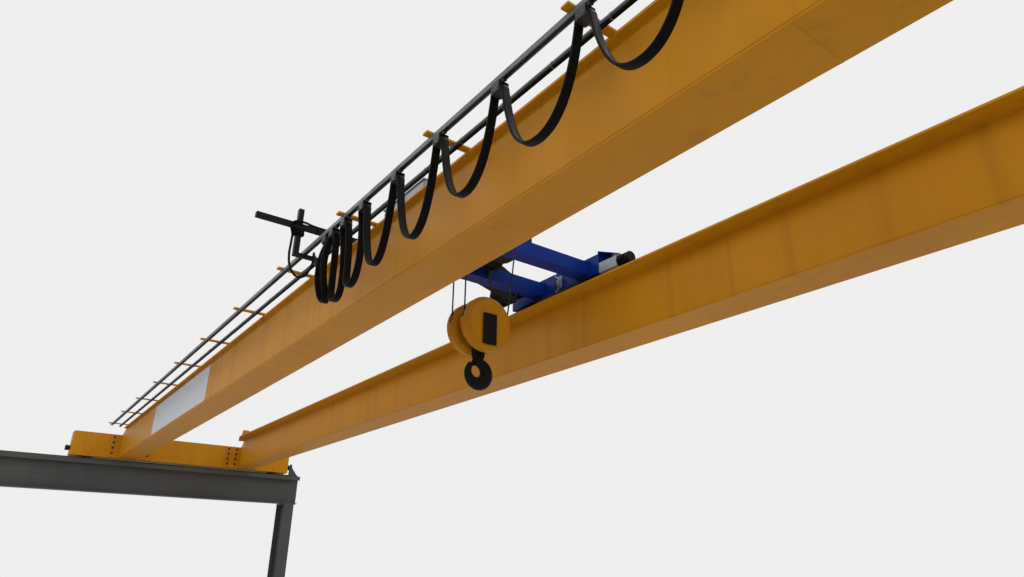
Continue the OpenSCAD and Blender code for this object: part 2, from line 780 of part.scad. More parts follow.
// Gearbox and motor at the near end of each truck, under its sloping plate
drive_l = 210;
drive_w = 95;
drive_h = 92;
module crab_drives() {
    y0 = crab_rail_y - truck_w / 2 + 2;
    on_crab() both_sides() {
        color(zinc) translate([truck_l / 2 + seat, y0, truck_z - 5]) cube([drive_l, drive_w, drive_h]);
        color(soot) translate([truck_l / 2 + drive_l - 1, y0 + drive_w / 2 - 4, truck_z + drive_h / 2 - 6]) rotate([0, 90, 0])
            cylinder(h = 128, r = drive_h / 2 - 1);
    }
}

// Hoist

// Pedestals on the cross beams that carry the drum's shaft
module hoist_frame() {
    color(crab_blue) on_crab() for (x = [drum_x0, drum_x1 - bearing_t])
        translate([x, drum_y, cross_top + seat]) rotate([90, 0, 90]) difference() {
            linear_extrude(bearing_t) difference() {
                polygon([[-130, 0], [130, 0], [130, 15], [62, drum_rise + 20], [40, drum_rise + 62], [-40, drum_rise + 62], [-62, drum_rise + 20], [-130, 15]]);
                translate([0, drum_rise - seat]) circle(r = shaft_r + fit);
            }
        }
}

// Barrel with rope grooves between two end flanges, on its shaft
module rope_drum() {
    color(soot) on_crab() translate([drum_mid, drum_y, drum_height]) rotate([0, 90, 0]) {
        rotate_extrude($fn = 96) difference() {
            translate([0, -drum_l / 2]) square([drum_r, drum_l]);
            for (i = [-grooves / 2:grooves / 2]) translate([drum_r + 3, i * groove_pitch]) circle(r = rope_d / 2 + 0.5, $fn = 24);
        }
        for (s = [-1, 1]) translate([0, 0, s * (drum_l / 2 - 7.5)]) cylinder(h = 15, r = drum_r + 14, center = true, $fn = 96);
        translate([0, 0, shaft_x - drum_mid]) cylinder(h = drum_x1 + 10 - shaft_x, r = shaft_r);
    }
}

// Gear housing at the drum's far end, with a foot on the far cross beam
module hoist_gearbox() {
    color(steel_grey) on_crab() {
        difference() {
            translate([gearbox_x, drum_y, drum_height]) rotate([90, 0, 90]) linear_extrude(gearbox_t) rotate(motor_angle)
                gear_outline(140, 90, motor_reach);
            translate([gearbox_x + gearbox_t - 20, drum_y, drum_height]) rotate([0, 90, 0]) cylinder(h = 40, r = shaft_r + seat);
        }
        translate([gearbox_x + gearbox_t - e, drum_y + 160, cross_top + seat]) cube([90 + e, 180, 18]);
    }
}

module hoist_motor() {
    color(soot) on_crab() translate([gearbox_x - seat, drum_y + motor_reach * cos(motor_angle), drum_height + motor_reach * sin(motor_angle)])
        rotate([0, -90, 0]) {
            cylinder(h = 20, r = 100);
            cylinder(h = motor_l, r = 88);
        }
}

// Long control box on truck A
module control_box() {
    color(zinc) on_crab() translate([box_x0, -crab_rail_y - 80, truck_z + truck_h + seat]) cube([control_l, 160, control_h]);
}

// Return sheave between two cheek plates that span the cross beams
module upper_sheave() {
    x0 = cross_far + cross_w / 2 + seat;
    x1 = cross_near - cross_w / 2 - seat;
    color(soot) on_crab() {
        for (s = [-1, 1]) translate([0, fall_left + s * 28 + 6, 0]) rotate([90, 0, 0]) linear_extrude(12) difference() {
            polygon([[x0, cross_z + 10], [x0, cross_top - 5], [x1, cross_top - 5], [x1, cross_z + 10],
                     [block_x + 60, cross_z + 10], [block_x, cross_z + 2], [block_x - 60, cross_z + 10]]);
            translate([block_x, return_z]) circle(r = 20 + fit);
        }
        translate([block_x, fall_left, return_z]) rotate([90, 0, 0]) {
            rotate_extrude($fn = 64) difference() {
                translate([0, -18]) square([fall_x + 6, 36]);
                translate([fall_x, 0]) circle(r = rope_d / 2 + 0.4, $fn = 24);
                translate([fall_x, -rope_d / 2 - 0.4]) square([20, rope_d + 0.8]);
            }
            cylinder(h = 80, r = 20, center = true);
        }
    }
}

// Square bars that reach out from truck A and down to the festoon's rail
module tow_arm() {
    color(soot) on_crab() {
        translate([arm_x, arm_end_y, arm_z]) cube([tow_bar, -crab_rail_y - truck_w / 2 - seat - arm_end_y, tow_bar]);
        translate([arm_x, arm_y - tow_bar / 2, arm_low_z]) cube([tow_bar, tow_bar, arm_h]);
        translate([arm_x, arm_y, arm_low_z]) cube([tow_bar, 195, 25]);
        translate([arm_x + 5, -crab_rail_y - truck_w / 2 - 12 - seat, arm_z - 30]) cube([30, 12, 100]);
    }
}

// Ropes and hook block

module rod(p, q, r) {
    d = q - p;
    translate(p) rotate([0, acos(d[2] / norm(d)), atan2(d[1], d[0])]) cylinder(h = norm(d), r = r, $fn = 16);
}

// Part of a turn of rope round a sheave with its axle along X, from angle a0 over a1 degrees
module rope_turn(x, y, z, r, a0, a1) {
    translate([x, y, z]) rotate([90, 0, 90]) rotate([0, 0, a0]) rotate_extrude(angle = a1, $fn = 64) translate([r, 0]) circle(r = rope_d / 2, $fn = 16);
}

// Angle of the straight rope that leaves a sheave of radius r1 for one of radius r2
function lead_angle(y1, z1, r1, y2, z2, r2) = atan2(z2 - z1, y2 - y1) - acos((r1 - r2) / norm([y2 - y1, z2 - z1]));
drum_lead = lead_angle(block_y, block_z, sheave_r, drum_y, drum_height, drum_rope_r);
dead_lead = lead_angle(block_y, block_z, sheave_r, dead_end_y, dead_end_z, 0);
module hoist_ropes() {
    gap = 0.1;
    r = rope_d / 2;
    color(soot) on_crab() {
        for (s = [-1, 1]) rod([block_x + s * fall_x, fall_left, block_z + gap], [block_x + s * fall_x, fall_left, return_z - gap], r);
        translate([block_x, fall_left, return_z]) rotate([90, 0, 0]) rotate_extrude(angle = 180, $fn = 64) translate([fall_x, 0]) circle(r = r, $fn = 16);
        rope_turn(block_x + fall_x, block_y, block_z, sheave_r, 180, 180 + drum_lead);
        rope_turn(block_x - fall_x, block_y, block_z, sheave_r, 180, 180 + dead_lead);
        rod([block_x + fall_x, block_y + sheave_r * cos(drum_lead), block_z + sheave_r * sin(drum_lead) + gap],
            [block_x + fall_x, drum_y + drum_rope_r * cos(drum_lead), drum_height + drum_rope_r * sin(drum_lead)], r);
        rod([block_x - fall_x, block_y + sheave_r * cos(dead_lead), block_z + sheave_r * sin(dead_lead) + gap],
            [block_x - fall_x, dead_end_y, dead_end_z - 2], r);
    }
}

// Lug on the far cross beam with the socket that holds the rope's dead end
module rope_anchor() {
    face = cross_far + cross_w / 2;
    translate([face - e, dead_end_y - 30, dead_end_z]) cube([block_x - fall_x - face + 12 + e, 60, 20]);
}

// Pressed cover: a drum-shaped shell with a rolled rim, open at the sides for the rope
module cover(s) {
    translate([s * cover_x, 0, 0]) difference() {
        rotate([0, 90, 0]) rotate_extrude($fn = 96) difference() {
            polygon(cover_profile(0));
            polygon(cover_profile(cover_wall));
        }
        rotate([0, 90, 0]) cylinder(h = cover_t + 2 * e, r = axle_block_r + seat, center = true);
        for (side = [-1, 1]) translate([s * (fall_x - cover_x) - 14, side * (sheave_r + 4) - 22, 20]) cube([28, 44, cover_r]);
    }
}
function cover_profile(t) = [
    [0, -cover_t / 2 + t], [cover_r - 34, -cover_t / 2 + t], [cover_r - 12 - t / 2, -cover_t / 2 + 9 + t], [cover_r - t, -cover_t / 2 + 30],
    [cover_r - t, cover_t / 2 - 30], [cover_r - 12 - t / 2, cover_t / 2 - 9 - t], [cover_r - 34, cover_t / 2 - t], [0, cover_t / 2 - t]];

module on_block() {
    translate([crab_x + block_x, bridge_y + block_y, block_z]) children();
}

module sheave_covers() {
    color(amber) on_block() for (s = [-1, 1]) cover(s);
}

// Two grooved sheaves and their axle
module block_sheaves() {
    color(soot) on_block() rotate([0, 90, 0]) {
        for (s = [-1, 1]) translate([0, 0, s * fall_x]) rotate_extrude($fn = 96) difference() {
            polygon([[axle_block_r + seat, -30], [60, -30], [60, -10], [sheave_r - 20, -10], [sheave_r + 8, -16],
                     [sheave_r + 8, 16], [sheave_r - 20, 10], [60, 10], [60, 30], [axle_block_r + seat, 30]]);
            translate([sheave_r, 0]) circle(r = rope_d / 2 + 0.4, $fn = 24);
            translate([sheave_r, -rope_d / 2 - 0.4]) square([20, rope_d + 0.8]);
        }
        cylinder(h = 2 * cover_x + cover_t + 16, r = axle_block_r, center = true);
        for (s = [-1, 1]) translate([0, 0, s * (cover_x + cover_t / 2 + 6)]) cylinder(h = 10, r = axle_block_r + 14, center = true);
    }
}

// Crosshead that hangs from the axle and holds the hook's shank
module crosshead() {
    color(soot) on_block() difference() {
        translate([-crosshead_w / 2, 0, 0]) rotate([90, 0, 90]) linear_extrude(crosshead_w)
            polygon([[-40, head_low], [40, head_low], [44, head_low + 8], [44, 34], [28, 50], [-28, 50], [-44, 34], [-44, head_low + 8]]);
        rotate([0, 90, 0]) cylinder(h = cover_gap + 2, r = axle_block_r + seat, center = true);
        translate([0, 0, head_low - e]) cylinder(h = 90 + e, r = shank_r + seat);
    }
}

// Forged hook: a round-edged disc with a flared throat, opened at one side up to its point
module hook() {
    color(soot) on_block() difference() {
        union() {
            translate([0, eye_y + 28, eye_z - 20]) rotate([0, 90, 0]) rotate_extrude($fn = 96) {
                translate([0, -hook_t / 2]) square([hook_outer - hook_t / 2, hook_t]);
                translate([hook_outer - hook_t / 2, 0]) circle(r = hook_t / 2, $fn = 32);
            }
            translate([0, 0, eye_z + 60]) cylinder(h = head_low + 89 - eye_z - 60, r = shank_r);
            translate([0, 0, eye_z + 60]) cylinder(h = head_low - seat - eye_z - 60, r1 = neck_r - 4, r2 = neck_r);
        }
        translate([0, eye_y, eye_z]) rotate([0, 90, 0]) rotate_extrude($fn = 64)
            polygon([[0, -hook_t], [throat_r + 22 + hook_t / 2, -hook_t], [throat_r + 16, -hook_t / 2 + 3], [throat_r + 4, -hook_t / 4],
                     [throat_r, 0], [throat_r + 4, hook_t / 4], [throat_r + 16, hook_t / 2 - 3], [throat_r + 22 + hook_t / 2, hook_t], [0, hook_t]]);
        translate([-hook_t, eye_y, eye_z]) rotate([90, 0, 90]) linear_extrude(2 * hook_t)
            polygon([[0, 0], 200 * [cos(mouth_a1), sin(mouth_a1)], [-90, 120], [-neck_r - 2 - eye_y, 118],
                     [-neck_r - 2 - eye_y, 78], 70 * [cos(mouth_a0), sin(mouth_a0)]]);
        translate([-latch_w / 2 - 1, latch_y - 16, latch_z - 16]) cube([latch_w + 2, 32, 32]);
        translate([-latch_w / 2 - 1, latch_y - 16, latch_z - latch_l - 1]) cube([latch_w + 2, 20, latch_l]);
        translate([0, latch_y, latch_z]) rotate([0, 90, 0]) cylinder(h = hook_t + 20, r = pin_r + fit, center = true);
    }
}

// Sprung latch that closes the hook's mouth, on a pin through the hook's neck
module hook_latch() {
    color(soot) on_block() translate([0, latch_y, latch_z]) {
        rotate([0, 90, 0]) rotate_extrude() polygon([[0, -hook_t / 2 + 5], [pin_r, -hook_t / 2 + 5], [pin_r, -latch_w / 2],
            [11, -latch_w / 2], [11, latch_w / 2], [pin_r, latch_w / 2], [pin_r, hook_t / 2 - 5], [0, hook_t / 2 - 5]]);
        rotate([latch_a, 0, 0]) translate([-latch_w / 2 + 1, 3, -5]) cube([latch_w - 2, latch_l - 3, 8]);
    }
}

runway_beam_far();
runway_beam_near();
runway_rails();
runway_end_stops();
columns_far();
columns_near();
girder_a();
girder_b();
end_carriage_far();
end_carriage_near();
carriage_buffers();
travel_drives();
crab_rails();
crab_end_stops();
festoon_brackets();
festoon_rail();
inner_rail();
line_cable();
name_board();
cable_anchor();
bridge_wheels_left();
bridge_wheels_right();
crab_truck_a();
crab_truck_b();
cross_beam_near();
cross_beam_far();
crab_drives();
hoist_frame();
hoist_gearbox();
hoist_motor();
control_box();
upper_sheave();
tow_arm();
tow_car();
rope_drum();
crab_wheels_near();
crab_wheels_far();
hoist_ropes();
sheave_covers();
block_sheaves();
crosshead();
hook();
hook_latch();
cable_car(car_x(1));  // cable_car_1
cable_car(car_x(2));  // cable_car_2
cable_car(car_x(3));  // cable_car_3
cable_car(car_x(4));  // cable_car_4
cable_car(car_x(5));  // cable_car_5
cable_car(car_x(6));  // cable_car_6
cable_car(car_x(7));  // cable_car_7
cable_car(car_x(8));  // cable_car_8
cable_car(car_x(9));  // cable_car_9
cable_car(car_x(10));  // cable_car_10
festoon_cable();
crab_cable();
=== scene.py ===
import bmesh
import bpy
import json
import math
from mathutils import Matrix, Vector


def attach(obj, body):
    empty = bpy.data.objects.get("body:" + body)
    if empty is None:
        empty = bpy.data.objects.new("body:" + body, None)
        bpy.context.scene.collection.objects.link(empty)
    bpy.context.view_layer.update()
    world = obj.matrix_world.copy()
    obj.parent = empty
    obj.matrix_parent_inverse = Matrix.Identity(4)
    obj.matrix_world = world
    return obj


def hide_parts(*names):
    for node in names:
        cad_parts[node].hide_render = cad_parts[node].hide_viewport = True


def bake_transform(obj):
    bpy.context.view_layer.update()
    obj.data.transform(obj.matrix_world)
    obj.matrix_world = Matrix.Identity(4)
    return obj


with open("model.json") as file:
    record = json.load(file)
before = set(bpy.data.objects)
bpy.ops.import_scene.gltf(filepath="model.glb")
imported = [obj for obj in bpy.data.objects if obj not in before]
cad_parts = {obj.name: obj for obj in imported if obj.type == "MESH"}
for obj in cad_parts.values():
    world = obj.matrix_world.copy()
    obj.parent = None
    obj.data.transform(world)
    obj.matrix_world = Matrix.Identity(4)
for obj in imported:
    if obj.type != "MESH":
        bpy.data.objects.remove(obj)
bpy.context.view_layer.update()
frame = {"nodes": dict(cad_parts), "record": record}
nodes = frame["nodes"]

# Places from the part's source, in metres
BRIDGE_Y, CRAB_X = 3.985, 2.021
GIRDER_Y, GIRDER_WEB_Y = 1.000, 0.170
RUNWAY_X = 7.950
COLUMN_YS = (-6.0, 0.0, 6.0)
AXLE_Y, AXLE_Z = 1.650, 3.4523
TRAVEL_GEAR_X = 8.180
CRAB_BUFFER_X, CRAB_BUFFER_Y = 0.6131, 0.892
DRUM_Y, DRUM_Z = BRIDGE_Y + 0.080, 4.209
BLOCK = Vector((CRAB_X - 0.003, BRIDGE_Y - 0.042, 3.449))
BOTH_SIDES = (-1, 1)
ENDS = ((-1, "far"), (1, "near"))

# Festoon: its cars' places, its saddles and its flat cable
FESTOON_Y = BRIDGE_Y - 1.450
SADDLE_Z, SADDLE_R = 3.760, 0.036
CABLE_W, CABLE_T = 0.050, 0.014
BEND_R = SADDLE_R + 0.0003 + CABLE_T / 2
TOW_CAR_X = CRAB_X + 0.116
CAR_GAPS = [0.121, 0.197, 0.291, 0.451, 0.501, 0.558, 0.621, 0.600, 0.766, 0.766, 0.130]
CAR_X = [TOW_CAR_X]
for gap in CAR_GAPS:
    CAR_X.append(CAR_X[-1] + gap)
CAR_BODIES = ["crab"] + [f"cable_car_{i}" for i in range(1, 11)] + ["bridge"]
LOOP_DEPTHS = [0.471, 0.504, 0.479, 0.459, 0.461, 0.432, 0.435, 0.414, 0.405, 0.405, 0.520]
# How far a loop leans along Y, half way down and at its lowest point
LOOP_SWAY = {0: (-0.046, 0.008), 1: (0.012, 0.017), 2: (0.018, 0.010),
             5: (0.0, -0.008), 6: (0.0, -0.012), 7: (0.0, -0.007)}


# Camera at the photograph's place
def set_camera():
    data = bpy.data.cameras.new("photo_view")
    data.lens = 24.35
    data.sensor_width = 36.0
    data.clip_end = 200.0
    camera = bpy.data.objects.new("photo_view", data)
    bpy.context.scene.collection.objects.link(camera)
    right = Vector((0.598, 0.801, 0.0107)).normalized()
    ahead = Vector((-0.745, 0.551, 0.376))
    ahead = (ahead - right * ahead.dot(right)).normalized()
    place = Matrix((right, right.cross(ahead), -ahead)).transposed().to_4x4()
    place.translation = Vector((6.541, 0.932, 1.600))
    camera.matrix_world = place
    bpy.context.scene.camera = camera


set_camera()


# Shader maths as Python expressions
class Field:
    def __init__(self, shader, socket):
        self.shader = shader
        self.socket = socket

    def math(self, operation, first, second):
        return self.shader.node("ShaderNodeMath", {"operation": operation}, first, second)

    def __add__(self, other):
        return self.math("ADD", self, other)

    def __radd__(self, other):
        return self.math("ADD", other, self)

    def __sub__(self, other):
        return self.math("SUBTRACT", self, other)

    def __rsub__(self, other):
        return self.math("SUBTRACT", other, self)

    def __mul__(self, other):
        return self.math("MULTIPLY", self, other)

    def __rmul__(self, other):
        return self.math("MULTIPLY", other, self)

    def maximum(self, other):
        return self.math("MAXIMUM", self, other)

    def ramp(self, low, high):
        return self.shader.node("ShaderNodeMapRange", {"interpolation_type": "SMOOTHSTEP"},
                                self, low, high, 0.0, 1.0)


class Shader:
    """The nodes of a material or of the world."""

    def __init__(self, tree):
        self.tree = tree

    def feed(self, socket, value):
        if isinstance(value, Field):
            self.tree.links.new(value.socket, socket)
        elif value is not None:
            socket.default_value = value

    def node(self, kind, settings, *values, out=0, **named):
        made = self.tree.nodes.new(kind)
        for key, value in settings.items():
            setattr(made, key, value)
        for key, value in [*enumerate(values), *named.items()]:
            self.feed(made.inputs[key], value)
        return Field(self, made.outputs[out])


class Finish(Shader):
    """A material for one of the crane's surfaces, with Object coordinates."""

    def __init__(self, name):
        self.material = bpy.data.materials.new(name)
        self.material.use_nodes = True
        super().__init__(self.material.node_tree)
        self.bsdf = self.tree.nodes["Principled BSDF"]
        self.place = self.node("ShaderNodeTexCoord", {}, out="Object")

    def noise(self, scale, detail=4.0, rough=0.55, stretch=(1, 1, 1), shift=(0, 0, 0)):
        at = self.node("ShaderNodeMapping", {}, self.place, shift, (0, 0, 0), stretch)
        return self.node("ShaderNodeTexNoise", {}, Vector=at, Scale=scale, Detail=detail, Roughness=rough)

    def facing_up(self):
        normal = self.node("ShaderNodeNewGeometry", {}, out="Normal")
        return self.node("ShaderNodeSeparateXYZ", {}, normal, out="Z")

    def blend(self, amount, first, second):
        colours = [(*c, 1.0) if isinstance(c, tuple) else c for c in (first, second)]
        number_and_vector_sockets = [None] * 5
        return self.node("ShaderNodeMix", {"data_type": "RGBA"}, amount, *number_and_vector_sockets,
                         *colours, out=2)

    def bump(self, height, distance, strength, under=None):
        return self.node("ShaderNodeBump", {}, Strength=strength, Distance=distance, Height=height,
                         Normal=under)

    def set(self, **sockets):
        for key, value in sockets.items():
            value = (*value, 1.0) if isinstance(value, tuple) else value
            self.feed(self.bsdf.inputs[key.replace("_", " ")], value)
        return self.material


def yellow_paint():
    f = Finish("girder_yellow_paint")
    cloud = f.noise(0.55, 5.0)
    fine = f.noise(26.0, 3.0)
    # The streak mask paints dark vertical bands on the webs: a painted reflection of the building's columns.
    streak = f.noise(1.0, 6.0, 0.62, (7.0, 7.0, 0.30))
    run = f.noise(1.0, 4.0, 0.6, (22.0, 22.0, 0.9), (3.0, 1.0, 0.0))
    dust = f.facing_up().ramp(0.6, 1.0) * f.noise(3.0, 6.0).ramp(0.35, 0.75)
    base = f.blend(cloud.ramp(0.3, 0.7), (0.47, 0.192, 0.0038), (0.545, 0.232, 0.0052))
    base = f.blend(streak.ramp(0.50, 0.74) * 0.42, base, (0.30, 0.112, 0.0040))
    base = f.blend(run.ramp(0.60, 0.80) * 0.22, base, (0.24, 0.090, 0.0050))
    base = f.blend(fine.ramp(0.62, 0.8) * 0.12, base, (0.30, 0.13, 0.010))
    base = f.blend(dust * 0.3, base, (0.36, 0.27, 0.14))
    wave = f.bump(f.noise(1.3, 2.0, 0.4), 0.004, 0.6)
    orange_peel = f.bump(f.noise(210.0, 2.0), 0.0006, 0.35, wave)
    return f.set(Base_Color=base, Roughness=0.36 + 0.2 * cloud + 0.3 * dust, Normal=orange_peel,
                 Specular_IOR_Level=0.13)


def blue_paint():
    f = Finish("crab_blue_paint")
    cloud = f.noise(3.5, 5.0)
    scuff = f.noise(14.0, 6.0, 0.65, (1.0, 1.0, 0.35)).ramp(0.66, 0.8)
    dust = f.facing_up().ramp(0.5, 1.0) * f.noise(9.0, 6.0).ramp(0.3, 0.7)
    base = f.blend(cloud, (0.001, 0.014, 0.130), (0.002, 0.028, 0.240))
    base = f.blend(scuff * 0.22, base, (0.03, 0.05, 0.16))
    base = f.blend(dust * 0.18, base, (0.12, 0.14, 0.22))
    wave = f.bump(f.noise(4.0, 2.0), 0.002, 0.4)
    return f.set(Base_Color=base, Roughness=0.28 + 0.25 * cloud + 0.2 * dust,
                 Normal=f.bump(f.noise(300.0, 2.0), 0.0005, 0.4, wave), Specular_IOR_Level=0.10)


def grey_paint():
    f = Finish("runway_grey_paint")
    cloud = f.noise(1.1, 6.0)
    streak = f.noise(1.6, 6.0, 0.6, (1.0, 1.0, 0.10)).ramp(0.5, 0.8)
    mill = f.noise(5.0, 4.0, 0.5, (0.3, 0.06, 1.0))
    rust = f.noise(20.0, 8.0, 0.7).ramp(0.68, 0.78) * f.noise(0.8, 2.0).ramp(0.45, 0.65)
    base = f.blend(cloud, (0.052, 0.053, 0.052), (0.082, 0.083, 0.081))
    base = f.blend(streak * 0.35, base, (0.030, 0.030, 0.029))
    base = f.blend(mill.ramp(0.55, 0.75) * 0.15, base, (0.12, 0.12, 0.118))
    base = f.blend(rust * 0.5, base, (0.09, 0.045, 0.022))
    rolled = f.bump(mill, 0.0015, 0.5)
    return f.set(Base_Color=base, Roughness=0.42 + 0.25 * cloud + 0.15 * rust,
                 Normal=f.bump(f.noise(120.0, 3.0), 0.0006, 0.4, rolled), Specular_IOR_Level=0.25)


def zinc():
    f = Finish("galvanised_zinc")
    flake = f.node("ShaderNodeTexVoronoi", {}, Vector=f.place, Scale=110.0, out="Color")
    grain = f.node("ShaderNodeSeparateColor", {}, flake)
    grime = f.noise(7.0, 6.0).ramp(0.45, 0.75)
    # The base is a dark grey, about half of galvanised zinc's own tone: painted shade for parts seen in
    # shadow.
    base = f.blend(grain, (0.120, 0.125, 0.130), (0.145, 0.150, 0.155))
    base = f.blend(grime * 0.5, base, (0.07, 0.07, 0.067))
    return f.set(Base_Color=base, Metallic=0.3, Roughness=0.46 + 0.03 * grain + 0.12 * grime,
                 Normal=f.bump(f.noise(180.0, 3.0), 0.0004, 0.3), Specular_IOR_Level=0.25)


def rail_steel():
    f = Finish("rail_steel")
    polish = f.facing_up().ramp(0.7, 1.0)
    rust = f.noise(16.0, 8.0, 0.65)
    run = f.noise(30.0, 4.0, 0.5, (0.04, 1.0, 1.0))
    side = f.blend(rust.ramp(0.35, 0.7), (0.10, 0.060, 0.040), (0.20, 0.115, 0.065))
    base = f.blend(polish * 0.9, side, (0.36, 0.35, 0.34))
    return f.set(Base_Color=base, Metallic=0.35 + 0.55 * polish,
                 Roughness=0.62 - 0.32 * polish + 0.15 * run, Normal=f.bump(rust, 0.0012, 0.6))


def dark_steel():
    f = Finish("wheel_and_gear_steel")
    grease = f.noise(9.0, 6.0).ramp(0.4, 0.7)
    base = f.blend(grease, (0.050, 0.048, 0.046), (0.014, 0.013, 0.012))
    return f.set(Base_Color=base, Metallic=0.35, Roughness=0.52 - 0.15 * grease,
                 Normal=f.bump(f.noise(90.0, 4.0), 0.0008, 0.5), Specular_IOR_Level=0.25)


def black_paint():
    f = Finish("black_paint")
    cloud = f.noise(8.0, 6.0)
    chip = f.noise(40.0, 8.0, 0.7).ramp(0.72, 0.78)
    base = f.blend(cloud, (0.0025, 0.0025, 0.003), (0.006, 0.006, 0.0065))
    base = f.blend(chip * 0.3, base, (0.05, 0.045, 0.04))
    return f.set(Base_Color=base, Roughness=0.42 + 0.22 * cloud, Metallic=0.25 * chip,
                 Normal=f.bump(f.noise(150.0, 3.0), 0.0006, 0.5), Specular_IOR_Level=0.12)


def rubber():
    f = Finish("buffer_rubber")
    cloud = f.noise(20.0, 6.0)
    base = f.blend(cloud, (0.008, 0.008, 0.008), (0.020, 0.019, 0.019))
    return f.set(Base_Color=base, Specular_IOR_Level=0.3, Roughness=0.7 + 0.15 * cloud,
                 Normal=f.bump(f.noise(220.0, 3.0), 0.0006, 0.6))


def cable_sheath():
    f = Finish("cable_sheath")
    cloud = f.noise(12.0, 5.0)
    scuff = f.noise(60.0, 6.0, 0.6).ramp(0.6, 0.78)
    base = f.blend(cloud, (0.0035, 0.003, 0.0025), (0.008, 0.007, 0.006))
    base = f.blend(scuff * 0.25, base, (0.03, 0.028, 0.026))
    return f.set(Base_Color=base, Roughness=0.36 + 0.2 * cloud,
                 Normal=f.bump(f.noise(90.0, 3.0), 0.0008, 0.4), Specular_IOR_Level=0.05)


def rope_steel():
    f = Finish("hoist_rope_steel")
    lay = f.node("ShaderNodeTexWave", {"wave_type": "BANDS", "bands_direction": "DIAGONAL"},
                 Vector=f.place, Scale=95.0, Distortion=0.0)
    base = f.blend(lay, (0.006, 0.0055, 0.005), (0.045, 0.042, 0.038))
    return f.set(Base_Color=base, Metallic=0.6, Roughness=0.38 + 0.2 * lay, Normal=f.bump(lay, 0.0015, 0.8))


def white_board():
    f = Finish("board_white")
    cloud = f.noise(1.6, 5.0)
    streak = f.noise(1.4, 5.0, 0.6, (2.0, 2.0, 0.15)).ramp(0.55, 0.8)
    base = f.blend(cloud, (0.44, 0.46, 0.50), (0.54, 0.56, 0.60))
    base = f.blend(streak * 0.25, base, (0.34, 0.34, 0.33))
    return f.set(Base_Color=base, Roughness=0.3 + 0.2 * cloud, Normal=f.bump(f.noise(3.0, 2.0), 0.002, 0.4))


def grey_housing():
    f = Finish("gear_housing_grey")
    cloud = f.noise(7.0, 6.0)
    grime = f.noise(18.0, 8.0, 0.65).ramp(0.5, 0.75)
    base = f.blend(cloud, (0.24, 0.265, 0.29), (0.32, 0.345, 0.37))
    base = f.blend(grime * 0.4, base, (0.10, 0.10, 0.10))
    return f.set(Base_Color=base, Metallic=0.3, Roughness=0.38 + 0.2 * cloud,
                 Normal=f.bump(f.noise(110.0, 4.0), 0.001, 0.6))


YELLOW, BLUE, GREY, ZINC = yellow_paint(), blue_paint(), grey_paint(), zinc()
RAIL, WHEEL, BLACK, RUBBER = rail_steel(), dark_steel(), black_paint(), rubber()
CABLE, ROPE, BOARD, HOUSING = cable_sheath(), rope_steel(), white_board(), grey_housing()

FINISHES = {"girder_yellow": YELLOW, "crab_blue": BLUE, "structure_grey": GREY, "zinc": ZINC,
            "rail_steel": RAIL, "dark_steel": WHEEL, "black_paint": BLACK, "rubber": RUBBER,
            "cable_black": CABLE, "rope_steel": ROPE, "white_board": BOARD}
SLOT_OF = {finish: slot for slot, finish in FINISHES.items()}
SLOT_OF[HOUSING] = "zinc"


def paint_nodes():
    for row in frame["record"]["subparts"]:
        materials = nodes[row["node"]].data.materials
        materials.clear()
        materials.append(FINISHES[row["material_slot"]])
    for name in ("control_box", "crab_drives"):
        nodes[name].data.materials[0] = HOUSING


paint_nodes()


# Ways of making a piece
def only(piece):
    bpy.ops.object.select_all(action="DESELECT")
    piece.select_set(True)
    bpy.context.view_layer.objects.active = piece


def smoothed(piece, angle=40):
    only(piece)
    bpy.ops.object.shade_smooth_by_angle(angle=math.radians(angle))


def begin(name, kind, material, **settings):
    """A primitive, left in edit mode with all of it selected."""
    bpy.ops.object.select_all(action="DESELECT")
    getattr(bpy.ops.mesh, "primitive_" + kind + "_add")(**settings)
    piece = bpy.context.object
    piece.name = piece.data.name = name
    piece.data.materials.append(material)
    bpy.ops.object.transform_apply(location=True, rotation=True, scale=True)
    bpy.ops.object.mode_set(mode="EDIT")
    return piece


def choose(piece, way):
    """Selects the faces that look the given way."""
    bpy.ops.mesh.select_mode(type="FACE")
    bpy.ops.mesh.select_all(action="DESELECT")
    mesh = bmesh.from_edit_mesh(piece.data)
    for face in mesh.faces:
        face.select_set(face.normal.dot(Vector(way)) > 0.9)
    mesh.select_flush_mode()
    bmesh.update_edit_mesh(piece.data)


def pull(move):
    bpy.ops.mesh.extrude_region_move(TRANSFORM_OT_translate={"value": tuple(move)})


def finish_shape(bevel=0.0, angle=40):
    bpy.ops.object.mode_set(mode="OBJECT")
    piece = bpy.context.object
    if bevel:
        edges = piece.modifiers.new("edges", "BEVEL")
        edges.width, edges.segments = bevel, 2
        edges.limit_method, edges.angle_limit = "ANGLE", math.radians(35)
        bpy.ops.object.modifier_apply(modifier=edges.name)
    smoothed(piece, angle)
    return piece


def block(name, low, high, material, bevel, shape=None):
    low, high = Vector(low), Vector(high)
    piece = begin(name, "cube", material, size=1.0, location=(low + high) / 2, scale=high - low)
    if shape:
        shape(piece)
    return finish_shape(bevel)


def turned(name, start, along, profile, material, sides=32):
    """A turned part: profile gives (distance along, radius) from the start."""
    start, along = Vector(start), Vector(along).normalized()
    turn = Vector((0, 0, 1)).rotation_difference(along)
    at, radius = profile[0]
    piece = begin(name, "circle", material, vertices=sides, radius=radius, fill_type="NGON",
                  location=start + along * at, rotation=turn.to_euler())
    bpy.ops.mesh.select_all(action="SELECT")
    for to, size in profile[1:]:
        pull(along * (to - at))
        if size != radius:
            k = size / radius
            bpy.ops.transform.resize(value=(k, k, k), center_override=start + along * to)
        at, radius = to, size
    bpy.ops.mesh.select_all(action="SELECT")
    bpy.ops.mesh.normals_make_consistent(inside=False)
    return finish_shape(angle=35)


def ring(name, major, minor, material, **settings):
    return begin(name, "torus", material, major_radius=major, minor_radius=minor, **settings)


